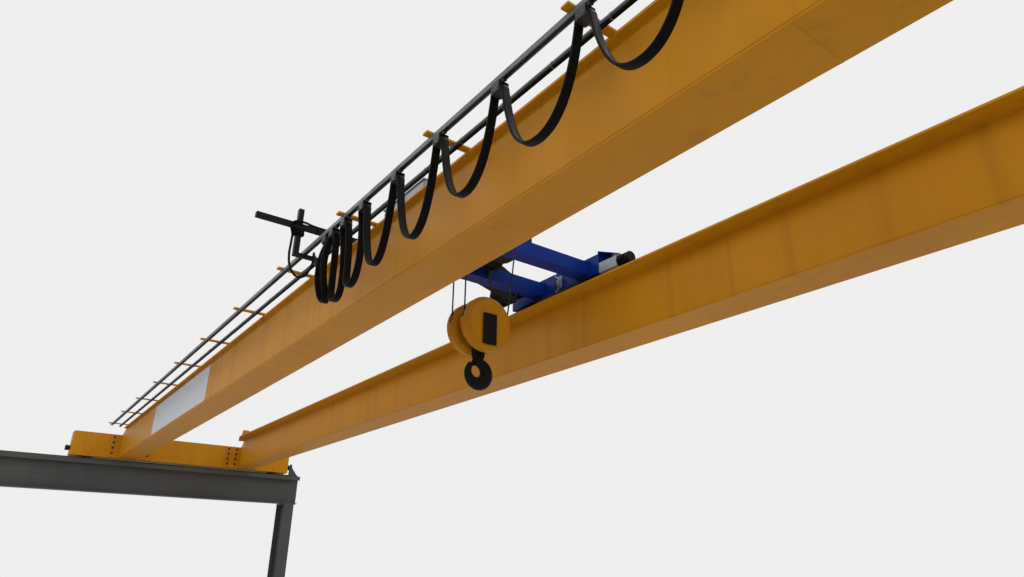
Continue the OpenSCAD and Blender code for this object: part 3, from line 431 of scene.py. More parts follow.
def tube(name, path, radius, material, round_steps=3):
    curve = bpy.data.curves.new(name, "CURVE")
    curve.dimensions = "3D"
    curve.bevel_depth, curve.bevel_resolution, curve.use_fill_caps = radius, round_steps, True
    spline = curve.splines.new("POLY")
    spline.points.add(len(path) - 1)
    for point, p in zip(spline.points, path):
        point.co = (*p, 1.0)
    piece = bpy.data.objects.new(name, curve)
    bpy.context.scene.collection.objects.link(piece)
    only(piece)
    bpy.ops.object.convert(target="MESH")
    piece = bpy.context.object
    piece.data.materials.clear()
    piece.data.materials.append(material)
    smoothed(piece, 50)
    return piece


def copied(piece, matrix):
    twin = piece.copy()
    twin.data = piece.data.copy()
    bpy.context.scene.collection.objects.link(twin)
    twin.data.transform(matrix)
    if matrix.determinant() < 0:
        twin.data.flip_normals()
    return twin


def joined(name, pieces):
    bpy.ops.object.select_all(action="DESELECT")
    for piece in pieces:
        piece.select_set(True)
    bpy.context.view_layer.objects.active = pieces[0]
    if len(pieces) > 1:
        bpy.ops.object.join()
    pieces[0].name = pieces[0].data.name = name
    return pieces[0]


def spread(name, piece, matrices):
    made = [copied(piece, m) for m in matrices]
    bpy.data.objects.remove(piece)
    return joined(name, made)


def shift(x, y, z):
    return Matrix.Translation((x, y, z))


def facing_way(direction):
    return Vector((0, 0, 1)).rotation_difference(Vector(direction)).to_matrix().to_4x4()


def at_crab(x, y, z):
    return Vector((CRAB_X + x, BRIDGE_Y + y, z))


def on_circle(x, y, z, r, angle):
    """A point on a circle round an axis along X."""
    return x, y + r * math.cos(angle), z + r * math.sin(angle)


def half_turn(x, y, z, r, part):
    """A point on the upper half of a circle round an axis along Y."""
    return x + r * math.cos(math.pi * part), y, z + r * math.sin(math.pi * part)


def fix(piece, body, *replaced):
    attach(piece, body)
    if replaced:
        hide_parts(*replaced)
    return piece


def nut(name, size, material, stud=0.5):
    """Nut on a washer with the end of its bolt, standing up from the origin."""
    up = (0, 0, 1)
    washer = begin(name + "_washer", "cylinder", material, vertices=16, radius=size * 1.18,
                   depth=size * 0.16, location=(0, 0, size * 0.08))
    choose(washer, up)
    bpy.ops.mesh.inset(thickness=size * 0.1, depth=size * 0.04)
    washer = finish_shape()
    piece = begin(name, "cylinder", material, vertices=6, radius=size, depth=size * 0.8,
                  location=(0, 0, size * 0.52))
    choose(piece, up)
    bpy.ops.mesh.inset(thickness=size * 0.16, depth=size * 0.08)
    bpy.ops.mesh.inset(thickness=size * 0.22, depth=0.0)
    pull((0, 0, size * stud))
    bpy.ops.mesh.inset(thickness=size * 0.08, depth=size * 0.06)
    return joined(name, [finish_shape(), washer])


def nuts(name, body, size, material, places, way, stud=0.5):
    turn = facing_way(way)
    return fix(spread(name, nut(name, size, material, stud), [shift(*p) @ turn for p in places]), body)


def smooth_path(points, steps=6):
    """A smooth curve through the points."""
    p = [Vector(q) for q in points]
    p = [2 * p[0] - p[1], *p, 2 * p[-1] - p[-2]]
    path = []
    for before, a, b, after in zip(p, p[1:], p[2:], p[3:]):
        for k in range(steps):
            t = k / steps
            path.append(0.5 * (2 * a + (b - before) * t + (2 * before - 5 * a + 4 * b - after) * t * t
                               + (3 * a - before - 3 * b + after) * t ** 3))
    return path + [p[-2]]


def flat_outline(w, t):
    """Outline of a flat cable: a rectangle with round corners."""
    r = t * 0.45
    points = []
    for x, y, start in ((1, 1, 0), (-1, 1, 90), (-1, -1, 180), (1, -1, 270)):
        for a in (0, 30, 60, 90):
            turn = math.radians(start + a)
            points.append((x * (w / 2 - r) + r * math.cos(turn), y * (t / 2 - r) + r * math.sin(turn)))
    return points


def flat_cable(name, path, outline):
    """Flat cable along a path, its width along Y: the outline is (across, along the path's normal)."""
    path, sides = [Vector(p) for p in path], len(outline)
    points, faces = [], []
    for i, p in enumerate(path):
        ahead = (path[min(i + 1, len(path) - 1)] - path[max(i - 1, 0)]).normalized()
        across = (Vector((0, 1, 0)) - ahead * ahead.y).normalized()
        normal = ahead.cross(across)
        points += [tuple(p + across * u + normal * v) for u, v in outline]
    for start in range(0, (len(path) - 1) * sides, sides):
        for k in range(sides):
            a, b = start + k, start + (k + 1) % sides
            faces.append((a, b, b + sides, a + sides))
    last = (len(path) - 1) * sides
    faces += [tuple(range(sides))[::-1], tuple(range(last, last + sides))]
    mesh = bpy.data.meshes.new(name)
    mesh.from_pydata(points, [], faces)
    mesh.materials.append(CABLE)
    piece = bpy.data.objects.new(name, mesh)
    bpy.context.scene.collection.objects.link(piece)
    shell = bmesh.new()
    shell.from_mesh(mesh)
    bmesh.ops.recalc_face_normals(shell, faces=shell.faces)
    shell.to_mesh(mesh)
    shell.free()
    smoothed(piece)
    return piece


# Festoon: one hanging loop of flat cable between each car and the next
def mix(first, second, share):
    return (1 - share) * first + share * second


def loop_path(i):
    """Centre line of a loop, a Bezier curve a side: narrow loops bulge, wide ones hang slack."""
    gap, depth, steps = CAR_GAPS[i], LOOP_DEPTHS[i], 24
    half = gap / 2 - BEND_R
    slack = max(0.0, min(1.0, (gap - 0.200) / 0.250))
    wide = min(gap / 2 - CABLE_T / 2 - 0.002, max(half, 0.095))
    handles = [(half, 0.0),
               (mix(half + 1.3 * (wide - half), 0.8 * half, slack), -depth * mix(0.75, 0.66, slack)),
               (mix(1.25 * wide, 0.5 * half, slack), -depth),
               (0.0, -depth)]
    side = []
    for k in range(steps + 1):
        t = k / steps
        weights = ((1 - t) ** 3, 3 * (1 - t) ** 2 * t, 3 * (1 - t) * t * t, t ** 3)
        side.append([sum(w * h[axis] for w, h in zip(weights, handles)) for axis in (0, 1)])
    middle = (CAR_X[i] + CAR_X[i + 1]) / 2
    half_way, bottom = LOOP_SWAY.get(i, (0.0, 0.0))

    def place(u, v):
        low = -v / depth
        return middle + u, FESTOON_Y + 4 * half_way * low * (1 - low) + bottom * low * low, SADDLE_Z + v

    return [place(-u, v) for u, v in side] + [place(u, v) for u, v in side[-2::-1]]


def festoon_half(name, path, outline):
    half = flat_cable(name, path, outline)
    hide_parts("festoon_cable")
    return half


def festoon_loops():
    """Each half of a loop leaves its own car and lets go of it downwards, so that the sides keep apart."""
    full, lapped = flat_outline(CABLE_W, CABLE_T), flat_outline(CABLE_W - 0.0008, CABLE_T - 0.0008)
    for i in range(len(CAR_GAPS)):
        path, name = loop_path(i), f"festoon_loop_{i + 1:02d}"
        if CAR_BODIES[i + 1] == "bridge":
            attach(festoon_half(name, path, full), "bridge")
            continue
        lowest = len(path) // 2
        left = festoon_half(name + "_left", path[:lowest + 2], full)
        right = festoon_half(name + "_right", path[::-1][:lowest + 2], lapped)
        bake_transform(left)
        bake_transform(right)


festoon_loops()


# Hoist rope: straight falls stretch between the crab and the block, the turns ride on what they lie on
ROPE_R = 0.0065
SHEAVE_R, DRUM_ROPE_R, FALL_X = 0.206, 0.1713, 0.093
RETURN_Z = 4.032
DEAD_END_Y, DEAD_END_Z = BRIDGE_Y + 0.120, 4.045
FALL_Y = BLOCK.y - SHEAVE_R


def lead_angle(y, z, r):
    """Where the rope leaves the block's sheave towards a circle at (y, z)."""
    reach = math.hypot(y - BLOCK.y, z - BLOCK.z)
    return math.atan2(z - BLOCK.z, y - BLOCK.y) - math.acos((SHEAVE_R - r) / reach)


def hoist_rope():
    near, far = BLOCK.x + FALL_X, BLOCK.x - FALL_X
    drum_lead = lead_angle(DRUM_Y, DRUM_Z, DRUM_ROPE_R)
    dead_lead = lead_angle(DEAD_END_Y, DEAD_END_Z, 0.0)
    falls = {"rope_fall_to_drum": (on_circle(near, BLOCK.y, BLOCK.z, SHEAVE_R, drum_lead),
                                   on_circle(near, DRUM_Y, DRUM_Z, DRUM_ROPE_R, drum_lead)),
             "rope_fall_to_anchor": (on_circle(far, BLOCK.y, BLOCK.z, SHEAVE_R, dead_lead),
                                     (far, DEAD_END_Y, DEAD_END_Z)),
             "rope_fall_left_near": ((near, FALL_Y, BLOCK.z), (near, FALL_Y, RETURN_Z)),
             "rope_fall_left_far": ((far, FALL_Y, BLOCK.z), (far, FALL_Y, RETURN_Z))}
    for name, (low, top) in falls.items():
        low, top = Vector(low), Vector(top)
        piece = tube(name, [low.lerp(top, k / 12) for k in range(13)], ROPE_R, ROPE)
        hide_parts("hoist_ropes")
        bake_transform(piece)
    for end, x, lead in (("near", near, drum_lead), ("far", far, dead_lead)):
        arc = [on_circle(x, BLOCK.y, BLOCK.z, SHEAVE_R, math.pi + (math.pi + lead) * k / 28)
               for k in range(29)]
        fix(tube(f"rope_round_sheave_{end}", arc, ROPE_R, ROPE), "hook_block", "hoist_ropes")
    over = [half_turn(BLOCK.x, FALL_Y, RETURN_Z, FALL_X, k / 24) for k in range(25)]
    fix(tube("rope_over_return_sheave", over, ROPE_R, ROPE), "crab", "hoist_ropes")
    turns, pitch = 14, 0.015
    wound = [on_circle(near + pitch * k / 36, DRUM_Y, DRUM_Z, DRUM_ROPE_R, drum_lead + 2 * math.pi * k / 36)
             for k in range(turns * 36 + 1)]
    fix(tube("rope_on_drum", wound, ROPE_R, ROPE, 2), "rope_drum")
    socket_shape = [(0, 0.009), (0.006, 0.012), (0.045, 0.017), (0.05, 0.021), (0.068, 0.021), (0.074, 0.016)]
    socket = turned("rope_dead_end_socket", (far, DEAD_END_Y, DEAD_END_Z - 0.075), (0, 0, 1), socket_shape,
                    WHEEL, 20)
    fix(socket, "crab")


hoist_rope()


# Cables that hang or lie along their way, from the crab's own place
CRAB_CABLE_ROUTE = [
    (-0.331, -1.565, 4.029), (-0.331, -1.567, 3.99), (-0.331, -1.569, 3.95), (-0.332, -1.57, 3.9),
    (-0.333, -1.572, 3.85), (-0.333, -1.572, 3.8), (-0.331, -1.56, 3.72), (-0.327, -1.525, 3.655),
    (-0.323, -1.48, 3.632), (-0.317, -1.435, 3.655), (-0.309, -1.405, 3.72), (-0.301, -1.392, 3.785),
    (-0.295, -1.396, 3.822), (-0.278, -1.402, 3.836), (-0.256, -1.407, 3.82), (-0.225, -1.413, 3.785),
    (-0.185, -1.42, 3.743), (-0.14, -1.428, 3.7), (-0.095, -1.435, 3.658), (-0.05, -1.441, 3.618),
    (-0.01, -1.446, 3.59), (0.024, -1.449, 3.582), (0.05, -1.449, 3.6), (0.066, -1.449, 3.645),
    (0.072, -1.449, 3.7), (0.0727, -1.449, 3.75), (0.0727, -1.449, 3.759)]
ROUND_CABLE_R = 0.009


def crab_supply_cable():
    route = [tuple(p) for p in smooth_path([at_crab(*p) for p in CRAB_CABLE_ROUTE], 5)]
    piece = tube("crab_supply_cable", route, ROUND_CABLE_R, CABLE)
    fix(piece, "crab", "crab_cable")


def tow_arm_cable():
    """From the control box along the tow arm, lashed round its upright."""
    arm = -0.331
    along = smooth_path([at_crab(*p) for p in (
        (-0.102, -0.90, 4.170), (-0.16, -0.905, 4.168), (arm + 0.07, -0.93, 4.12),
        (arm + 0.012, -1.00, 4.079), (arm + 0.010, -1.20, 4.079), (arm + 0.010, -1.40, 4.079),
        (arm + 0.033, -1.49, 4.079), (arm + 0.033, -1.56, 4.072), (arm + 0.032, -1.592, 4.045),
        (arm + 0.028, -1.594, 4.015), (arm + 0.012, -1.580, 3.995), (arm, -1.568, 3.965))])
    fix(tube("tow_arm_cable", along, ROUND_CABLE_R, CABLE), "crab")
    ring("lash", 0.039, 0.008, CABLE, major_segments=28, minor_segments=8,
         location=at_crab(arm, -1.526, 4.016))
    turns = [shift(0, 0, 0), shift(0.001, -0.002, -0.017), shift(-0.001, 0.001, -0.033)]
    fix(spread("cable_lashing", finish_shape(), turns), "crab")
    clip = block("cable_clip", at_crab(arm + 0.019, -1.408, 3.800), at_crab(arm + 0.046, -1.376, 3.822),
                 BLACK, 0.003)
    fix(clip, "crab")
    tie = turned("tie", (0, 0, -0.004), (0, 0, 1),
                 [(0, 0.0305), (0, 0.0335), (0.008, 0.0335), (0.008, 0.0305)], BLACK, 20)
    places = [shift(*at_crab(arm + 0.002, y, 4.0535)) @ Matrix.Rotation(math.pi / 2, 4, "X")
              for y in (-1.05, -1.22, -1.38)]
    fix(spread("tow_arm_ties", tie, places), "crab")


def inner_rail_ties():
    """Ties round the inner rail and the cable under it."""
    ring("inner_rail_tie", 0.0185, 0.0016, ZINC, major_segments=20, minor_segments=6, location=(0, 0, 0),
         rotation=(0, math.pi / 2, 0))
    bpy.ops.mesh.select_all(action="SELECT")
    bpy.ops.transform.resize(value=(2.6, 0.80, 1.06))
    places = [shift(-7.1 + 0.4 * k, BRIDGE_Y - 1.314, 3.845) for k in range(36)]
    fix(spread("inner_rail_ties", finish_shape(), places), "bridge")


crab_supply_cable()
tow_arm_cable()
inner_rail_ties()


# Saddles: the cable's bend over each car and the bolts of its clamp
def saddles():
    for i, (x, body) in enumerate(zip(CAR_X, CAR_BODIES)):
        bend = [half_turn(x, FESTOON_Y, SADDLE_Z, BEND_R, k / 16) for k in range(17)]
        fix(flat_cable(f"cable_over_saddle_{i}", bend, flat_outline(CABLE_W, CABLE_T)), body, "festoon_cable")
        clamp_y = CABLE_W / 2 + 0.006
        bolts = [shift(x + dx, FESTOON_Y + side * clamp_y, SADDLE_Z + 0.014) @ facing_way((0, side, 0))
                 for dx in (-0.020, 0.020) for side in BOTH_SIDES]
        fix(spread(f"saddle_bolts_{i}", nut("saddle_bolt", 0.0055, ZINC, 0.4), bolts), body)
        if body != "bridge":
            car_dress(i, x, body)


def car_dress(i, x, body):
    """Roller pins and rubber stops of one car."""
    pins = [shift(x + dx, FESTOON_Y + side * 0.0042, 3.8255) @ facing_way((0, side, 0))
            for dx in (-0.030, 0.030) for side in BOTH_SIDES]
    fix(spread(f"hanger_bolts_{i}", nut("roller_pin", 0.0055, ZINC, 0.3), pins), body)
    stop = block("stop", (x + 0.036, FESTOON_Y - 0.012, 3.8185), (x + 0.0405, FESTOON_Y + 0.012, 3.832),
                 RUBBER, 0.0015)
    fix(joined(f"car_stops_{i}", [stop, copied(stop, shift(-0.0765, 0, 0))]), body)


saddles()


# Hook block: rolled rims, hubs, a bare label and the cover's bolts
def block_dress():
    cover_x, cover_half, face_x = 0.102, 0.030, 0.1595
    rims = []
    for side in BOTH_SIDES:
        for x, major, minor in ((side * cover_x - cover_half, 0.2225, 0.0055),
                                (side * cover_x + cover_half, 0.2225, 0.0055),
                                (side * face_x, 0.194, 0.0035)):
            ring("rim", major, minor, YELLOW, major_segments=96, minor_segments=8,
                 location=BLOCK + Vector((x, 0, 0)), rotation=(0, math.pi / 2, 0))
            rims.append(finish_shape())
    fix(joined("cover_rims", rims), "hook_block")
    places = [on_circle(BLOCK.x - 0.1603, BLOCK.y, BLOCK.z, 0.175, math.radians(a))
              for a in (45, 135, 225, 315)]
    nuts("cover_bolts_far", "hook_block", 0.009, ZINC, places, (-1, 0, 0), 0.3)
    nuts("axle_nut_far", "hook_block", 0.034, BLACK, [BLOCK - Vector((0.171, 0, 0))], (-1, 0, 0), 0.15)
    label = begin("block_label", "cube", BLACK, size=1.0, location=BLOCK + Vector((0.1725, -0.006, -0.057)),
                  scale=(0.002, 0.132, 0.262))
    choose(label, (1, 0, 0))
    bpy.ops.mesh.inset(thickness=0.004, depth=-0.0004)
    fix(finish_shape(0.0006), "hook_block")
    nuts("crosshead_bolts", "hook_block", 0.010, BLACK,
         [BLOCK + Vector((0.0302, side * 0.028, -0.190)) for side in BOTH_SIDES], (1, 0, 0), 0.3)
    collar = turned("hook_collar", BLOCK - Vector((0, 0, 0.284)), (0, 0, 1),
                    [(0, 0.043), (0.003, 0.047), (0.014, 0.047), (0.017, 0.043)], BLACK, 40)
    fix(collar, "hook")


block_dress()


# Girder ends and carriages: bolts, caps, welds and buffers
def head_plate_nuts():
    columns, rows = (-0.290, -0.145, 0.290), (3.450, 3.543, 3.637, 3.730)
    # The far end's nuts take the dark steel finish as painted shade; at both ends the nuts are painted yellow
    # like the near ones.
    for side, end, material in ((-1, "far", WHEEL), (1, "near", YELLOW)):
        for g, girder in ((-1, "a"), (1, "b")):
            places = [(side * 7.780, BRIDGE_Y + g * (GIRDER_Y + c), z) for c in columns for z in rows]
            nuts(f"head_plate_nuts_{end}_{girder}", "bridge", 0.018, material, places, (-side, 0, 0))


def axle_keepers():
    """Caps over the bridge wheels' axles, but for the outer side that a drive covers."""
    cap = turned("cap", (0, 0, 0), (0, 0, 1),
                 [(0, 0.044), (0.010, 0.044), (0.014, 0.039), (0.0145, 0.012), (0.013, 0.010)], YELLOW)
    caps = []
    for side in BOTH_SIDES:
        for y in (-AXLE_Y, AXLE_Y):
            caps.append(shift(side * 7.800, BRIDGE_Y + y, AXLE_Z) @ facing_way((-side, 0, 0)))
        caps.append(shift(side * 8.100, BRIDGE_Y - AXLE_Y, AXLE_Z) @ facing_way((side, 0, 0)))
    fix(spread("axle_keepers", cap, caps), "bridge")


def girder_welds():
    """Beads where the webs meet the flanges, and the splices of the bottom plates."""
    made = []
    for g in BOTH_SIDES:
        for side in BOTH_SIDES:
            reach = 7.45 if side == g else 7.15
            y = BRIDGE_Y + g * GIRDER_Y + side * GIRDER_WEB_Y
            for z in (3.3835, 3.8525):
                begin("bead", "cylinder", YELLOW, vertices=8, radius=0.004, depth=2 * reach,
                      location=(0, y, z), rotation=(0, math.pi / 2, 0))
                made.append(finish_shape())
    for g in BOTH_SIDES:
        for x in (-4.9, 0.9, 5.6):
            place = (x, BRIDGE_Y + g * GIRDER_Y, 3.3705)
            begin("splice", "cylinder", YELLOW, vertices=8, radius=0.005, depth=0.338, location=place,
                  rotation=(math.pi / 2, 0, 0))
            bpy.ops.mesh.select_all(action="SELECT")
            bpy.ops.transform.resize(value=(2.2, 1.0, 0.5), center_override=place)
            made.append(finish_shape())
    fix(joined("girder_welds", made), "bridge")


def buffer_ribs():
    shape = [(0.0, 0.036), (0.004, 0.043), (0.010, 0.044), (0.016, 0.039), (0.024, 0.043), (0.032, 0.047),
             (0.038, 0.041), (0.046, 0.045), (0.055, 0.050), (0.061, 0.043), (0.066, 0.047), (0.073, 0.047),
             (0.0755, 0.040)]
    ribs = [turned("rib", (sx * RUNWAY_X, BRIDGE_Y + sy * 1.922, 3.495), (0, sy, 0), shape, RUBBER, 36)
            for sx in BOTH_SIDES for sy in BOTH_SIDES]
    fix(joined("buffer_ribs", ribs), "bridge", "carriage_buffers")


# Runway: anchors, the beams' bolts and the rails' clips
def runway_nuts():
    for side, end in ENDS:
        anchors = [(side * RUNWAY_X + dx, y + dy, 0.030)
                   for y in COLUMN_YS for dx in (-0.2685, 0.2685) for dy in (-0.1355, 0.1355)]
        nuts(f"anchor_nuts_{end}", "runway", 0.018, ZINC, anchors, (0, 0, 1), 1.1)
        seats = [(side * RUNWAY_X + dx, y + dy, 2.797)
                 for y in COLUMN_YS for dx in (-0.075, 0.075) for dy in (-0.05, 0.05)]
        nuts(f"beam_seat_nuts_{end}", "runway", 0.015, ZINC, seats, (0, 0, 1))


def rail_clips():
    """Clips low enough to pass under the wheels' flanges, with the bolt outside them."""
    beam_top, pitch = 3.322, 0.59
    for side, end in ENDS:
        clip = begin("rail_clip", "cube", ZINC, size=1.0, location=(0.055, 0, 0.003),
                     scale=(0.060, 0.060, 0.006))
        choose(clip, (0, 0, 1))
        bpy.ops.mesh.inset(thickness=0.008, depth=0.0)
        pull((0, 0, 0.003))
        bpy.ops.transform.resize(value=(0.45, 0.8, 1.0), center_override=(0.074, 0, 0.009))
        clip = finish_shape(0.001)
        bolt = nut("rail_clip_bolt", 0.010, ZINC)
        bolt.data.transform(shift(0.067, 0, 0.009))
        places = [shift(side * RUNWAY_X, -5.9 + pitch * k, beam_top) @ Matrix.Rotation(turn, 4, "Z")
                  for k in range(21) for turn in (0, math.pi)]
        fix(spread(f"rail_clips_{end}", joined("rail_clip", [clip, bolt]), places), "runway")


head_plate_nuts()
axle_keepers()
runway_nuts()
rail_clips()
girder_welds()
buffer_ribs()


# Drives: the motors' fins, fan covers and terminal boxes
def motor_dress(name, body, start, along, radius, length, box_way, fins=26):
    """Cooling fins, fan cover and terminal box of a motor whose plain body the part's source gives."""
    start, along, box_way = Vector(start), Vector(along), Vector(box_way)
    fin_end, fin_half = length * 0.72, 0.0022
    sleeve = turned(name + "_sleeve", start, along,
                    [(0.001, radius * 0.9), (0.003, radius + 0.0006), (fin_end, radius + 0.0006)], BLACK, 40)
    fin = block(name + "_fin", (radius - 0.004, -fin_half, length * 0.10), (radius * 1.13, fin_half, fin_end),
                BLACK, 0.0008)
    fins_round = [shift(*start) @ facing_way(along) @ Matrix.Rotation(2 * math.pi * k / fins, 4, "Z")
                  for k in range(fins)]
    r = radius * 1.14
    ridges = [(0.22, 1.0), (0.265, 0.9), (0.27, 0.8), (0.262, 0.78), (0.262, 0.62), (0.27, 0.6), (0.27, 0.44),
              (0.262, 0.42), (0.262, 0.26), (0.27, 0.24)]
    cover = turned(name + "_fan_cover", start + along * fin_end, along,
                   [(0.0, r * 0.97), (0.004, r), *((length * to, r * size) for to, size in ridges),
                    (length * 0.272, 0.004)], BLACK, 40)
    end_ring = turned(name + "_end_ring", start + along * length * 0.02, along,
                      [(0, radius * 0.9), (0, radius * 1.12), (length * 0.07, radius * 1.12),
                       (length * 0.08, radius * 0.9)], BLACK, 40)
    w = radius * 0.62
    box = begin(name + "_box", "cube", BLACK, size=1.0, location=(0, 0, 0),
                scale=(w * 1.5, w * 1.3, radius * 0.55))
    choose(box, (0, 0, 1))
    bpy.ops.mesh.inset(thickness=0.003, depth=0.0)
    pull((0, 0, 0.006))
    box = finish_shape(0.003)
    turn = Matrix((along, box_way.cross(along), box_way)).transposed().to_4x4()
    box.data.transform(shift(*(start + along * length * 0.36 + box_way * radius * 1.08)) @ turn)
    fix(joined(name, [sleeve, spread(name + "_fins", fin, fins_round), cover, end_ring, box]), body)


def drives_dress():
    for side, end in ENDS:
        motor_dress(f"travel_motor_dress_{end}", "bridge", (side * TRAVEL_GEAR_X, BRIDGE_Y + AXLE_Y, 3.6023),
                    (side, 0, 0), 0.062, 0.252, (0, 0, 1))
    for side, truck in ((-1, "a"), (1, "b")):
        motor_dress(f"crab_motor_dress_{truck}", "crab", at_crab(0.822, side * 0.8005, 3.990), (1, 0, 0),
                    0.045, 0.134, (0, -side, 0), 22)
    motor_dress("hoist_motor_dress", "crab", at_crab(-0.4256, 0.5686, 4.0312), (-1, 0, 0),
                0.088, 0.186, (0, 0, 1), 30)


# Gear cases: bolts round their covers and a cap over the end of each shaft
def cover_bolts(r1, r2, reach, inset, count, parts):
    """Places (along the case, across it) just inside the outline of two circles joined by their tangents."""
    a = math.acos((r1 - r2) / reach)
    first, step = a + 0.25, (2 * math.pi - 2 * a - 0.5) / (count - 1)
    found = [((r1 - inset) * math.cos(first + k * step), (r1 - inset) * math.sin(first + k * step))
             for k in range(count)]
    for side in BOTH_SIDES:
        for part in parts:
            r = r1 + (r2 - r1) * part - inset
            found.append((reach * part + r * math.cos(a), side * r * math.sin(a)))
    return found


CAP_SHAPE = [(0, 0.060), (0.008, 0.060), (0.010, 0.056), (0.012, 0.040), (0.018, 0.037), (0.0185, 0.004)]


def hoist_gear_dress():
    tilt, far_x, near_x = math.radians(-20), CRAB_X - 0.4053, CRAB_X - 0.2753
    parts = (0.25, 0.5, 0.75)
    for x, side, end, parts in ((far_x, -1, "far", parts), (near_x, 1, "near", (*parts, 0.98))):
        places = [(x, DRUM_Y + u * math.cos(tilt) - v * math.sin(tilt),
                   DRUM_Z + u * math.sin(tilt) + v * math.cos(tilt))
                  for u, v in cover_bolts(0.140, 0.090, 0.520, 0.015, 9, parts)]
        nuts(f"gear_case_bolts_{end}", "crab", 0.008, ZINC, places, (side, 0, 0), 0.3)
    fix(turned("drum_shaft_cap", (far_x, DRUM_Y, DRUM_Z), (-1, 0, 0), CAP_SHAPE, BLACK, 40), "crab")
    places = [on_circle(far_x - 0.009, DRUM_Y, DRUM_Z, 0.049, k * math.pi / 3) for k in range(6)]
    nuts("drum_shaft_cap_bolts", "crab", 0.005, ZINC, places, (-1, 0, 0), 0.3)


def travel_gear_dress():
    for side, end in ENDS:
        x, y = side * (TRAVEL_GEAR_X + 0.0003), BRIDGE_Y + AXLE_Y
        places = [(x, y + v, AXLE_Z + u) for u, v in cover_bolts(0.085, 0.066, 0.150, 0.011, 6, (0.5,))]
        nuts(f"travel_gear_bolts_{end}", "bridge", 0.006, ZINC, places, (side, 0, 0), 0.3)
        shape = [(p * 0.7, r * 0.7) for p, r in CAP_SHAPE]
        fix(turned(f"travel_gear_cap_{end}", (x, y, AXLE_Z), (side, 0, 0), shape, BLACK, 36), "bridge")


drives_dress()
hoist_gear_dress()
travel_gear_dress()


# Crab: end plates of its cross beams, buffers, a limit switch and the control box's doors, lid and glands
def beam_end_plates():
    plates = []
    for x in (0.415, -0.200):
        for y in (-0.7495, 0.7495):
            low, high = at_crab(x - 0.087, y - 0.005, 3.958), at_crab(x + 0.087, y + 0.005, 4.102)
            plates.append(block("beam_end_plate", low, high, BLUE, 0.002))
    fix(joined("beam_end_plates", plates), "crab")


def crab_buffer_sleeves():
    shape = [(0.0, 0.0275), (0.003, 0.032), (0.011, 0.032), (0.014, 0.029), (0.018, 0.031), (0.026, 0.031),
             (0.029, 0.028), (0.038, 0.028), (0.0402, 0.025), (0.0403, 0.004)]
    sleeves = []
    for sx in BOTH_SIDES:
        for sy in BOTH_SIDES:
            start = at_crab(sx * CRAB_BUFFER_X, sy * CRAB_BUFFER_Y, 3.985)
            sleeves.append(turned("sleeve", start, (sx, 0, 0), shape, RUBBER))
    fix(joined("crab_buffer_sleeves", sleeves), "crab")


def limit_switch():
    """Switch on truck B's inner side, with its lever, roller and lead."""
    def at(x, y, z):
        return at_crab(0.104 + x, 0.755 + y, z)

    gland = [(0, 0.011), (0.008, 0.011), (0.010, 0.008), (0.018, 0.008)]
    fix(joined("limit_switch", [
        block("limit_switch", at(-0.020, -0.042, 3.985), at(0.020, 0, 4.065), HOUSING, 0.004),
        block("switch_foot", at(-0.030, -0.006, 3.965), at(0.030, 0, 4.080), HOUSING, 0.001),
        turned("switch_gland", at(0, -0.021, 3.985), (0, 0, -1), gland, HOUSING, 20)]), "crab")
    shaft = [(0, 0.010), (0.012, 0.010), (0.014, 0.008)]
    roller = [(0, 0.010), (0.001, 0.011), (0.012, 0.011), (0.013, 0.010)]
    fix(joined("switch_lever", [
        turned("switch_shaft", at(0, -0.040, 4.045), (0, -1, 0), shaft, BLACK, 20),
        block("switch_lever", at(-0.007, -0.056, 3.955), at(0.007, -0.050, 4.052), BLACK, 0.0015),
        turned("switch_roller", at(0, -0.057, 3.958), (0, 1, 0), roller, BLACK, 20)]), "crab")
    lead = smooth_path([at(0, -0.021, 3.967), at(-0.005, -0.021, 3.945), at(-0.027, -0.016, 3.930),
                        at(-0.047, -0.007, 3.950), at(-0.053, -0.006, 4.000), at(-0.053, -0.006, 4.060),
                        at(-0.052, -0.006, 4.117)])
    fix(tube("switch_lead", lead, 0.0045, HOUSING), "crab")


def control_box():
    """Two doors a side, the lid and the glands."""
    x0, y0, z0 = at_crab(-0.102, -0.920, 4.1253)
    x1, y1, z1 = at_crab(0.535, -0.760, 4.2853)

    def panel(piece):
        choose(piece, (0, -1, 0))
        bpy.ops.mesh.inset(thickness=0.010, depth=0.0)
        bpy.ops.mesh.inset(thickness=0.003, depth=-0.002)

    door = block("control_box_door", (x0 + 0.010, y0 - 0.010, z0 + 0.010), (x0 + 0.312, y0, z1 - 0.016),
                 HOUSING, 0.0015, panel)
    hinge = turned("door_hinge", (x0 + 0.007, y0 - 0.006, z0 + 0.022), (0, 0, 1),
                   [(0, 0.004), (0.001, 0.005), (0.029, 0.005), (0.030, 0.004)], HOUSING, 12)
    latch = turned("door_latch", (x0 + 0.292, y0 - 0.010, z0 + 0.075), (0, -1, 0),
                   [(0, 0.009), (0.004, 0.009), (0.0045, 0.006), (0.007, 0.0055)], HOUSING, 20)
    unit = joined("control_box_door", [door, hinge, copied(hinge, shift(0, 0, 0.082)), latch])
    twin = copied(unit, shift(0.315, 0, 0))
    turn = shift(x0 + x1, y0 + y1, 0) @ Matrix.Rotation(math.pi, 4, "Z")
    fix(joined("control_box_doors", [unit, twin, copied(unit, turn), copied(twin, turn)]), "crab")
    fix(block("control_box_lid", (x0 - 0.010, y0 - 0.018, z1 - 0.004), (x1 + 0.010, y1 + 0.018, z1 + 0.006),
              HOUSING, 0.003), "crab")
    gland = turned("gland", (0, 0, 0), (0, 0, 1),
                   [(0, 0.016), (0.005, 0.016), (0.006, 0.013), (0.018, 0.013), (0.021, 0.010)], BLACK, 24)
    places = [shift(x0, y0 + dy, 4.170) @ facing_way((-1, 0, 0)) for dy in (0.02, 0.06, 0.10)]
    places.append(shift(x1, y0 + 0.08, 4.170) @ facing_way((1, 0, 0)))
    fix(spread("control_box_glands", gland, places), "crab")


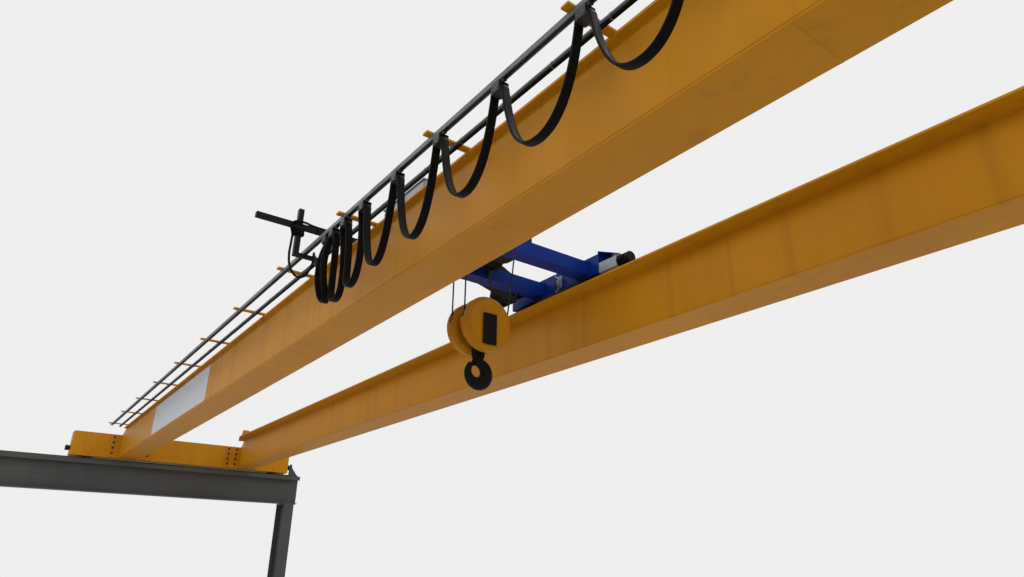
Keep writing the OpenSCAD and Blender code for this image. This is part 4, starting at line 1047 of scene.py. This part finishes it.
def hoist_motor_lead():
    lead = smooth_path([at_crab(*p) for p in (
        (-0.120, -0.82, 4.170), (-0.172, -0.81, 4.160), (-0.202, -0.72, 4.105), (-0.200, -0.60, 4.099),
        (-0.215, -0.20, 4.099), (-0.235, -0.08, 4.099))])
    fix(tube("hoist_motor_lead", lead, 0.008, CABLE), "crab")


beam_end_plates()
crab_buffer_sleeves()
limit_switch()
control_box()
hoist_motor_lead()


# Room: a pale floor, an even sky and soft lamps
def floor():
    bpy.ops.object.select_all(action="DESELECT")
    bpy.ops.mesh.primitive_plane_add(size=120.0, location=(0, 0, 0))
    plane = bpy.context.object
    plane.name = "studio_floor"
    plane.data.materials.append(Finish("studio_floor").set(Base_Color=(0.74, 0.74, 0.73), Roughness=0.9))


def sky():
    """Lights the crane less brightly than the background is seen, straight or in metal and glass."""
    world = bpy.data.worlds.new("studio")
    bpy.context.scene.world = world
    world.use_nodes = True
    world.node_tree.nodes.clear()
    shader = Shader(world.node_tree)
    camera, glossy, glass = (shader.node("ShaderNodeLightPath", {}, out=kind)
                             for kind in ("Is Camera Ray", "Is Glossy Ray", "Is Transmission Ray"))
    light = shader.node("ShaderNodeBackground", {}, (1.0, 1.0, 1.0, 1.0), 0.66)
    seen = shader.node("ShaderNodeBackground", {}, (0.86, 0.86, 0.86, 1.0), 1.0)
    both = shader.node("ShaderNodeMixShader", {}, camera.maximum(glossy).maximum(glass), light, seen)
    shader.feed(shader.tree.nodes.new("ShaderNodeOutputWorld").inputs["Surface"], both)


def lamp(name, place, size, power, aim):
    data = bpy.data.lights.new(name, "AREA")
    data.shape = "RECTANGLE"
    data.size, data.size_y = size
    data.energy = power
    piece = bpy.data.objects.new(name, data)
    bpy.context.scene.collection.objects.link(piece)
    piece.location = place
    piece.rotation_euler = (Vector(aim) - Vector(place)).to_track_quat("-Z", "Y").to_euler()


floor()
sky()
lamp("roof_light_left", (-4.0, -4.0, 9.5), (16.0, 2.5), 200.0, (0, 2, 0))
lamp("roof_light_right", (3.0, 6.5, 9.5), (16.0, 2.5), 260.0, (0, 3, 0))
lamp("front_light", (9.0, -3.0, 6.0), (4.0, 4.0), 150.0, (0, 4, 3.4))
bpy.context.scene.view_settings.view_transform = "Standard"
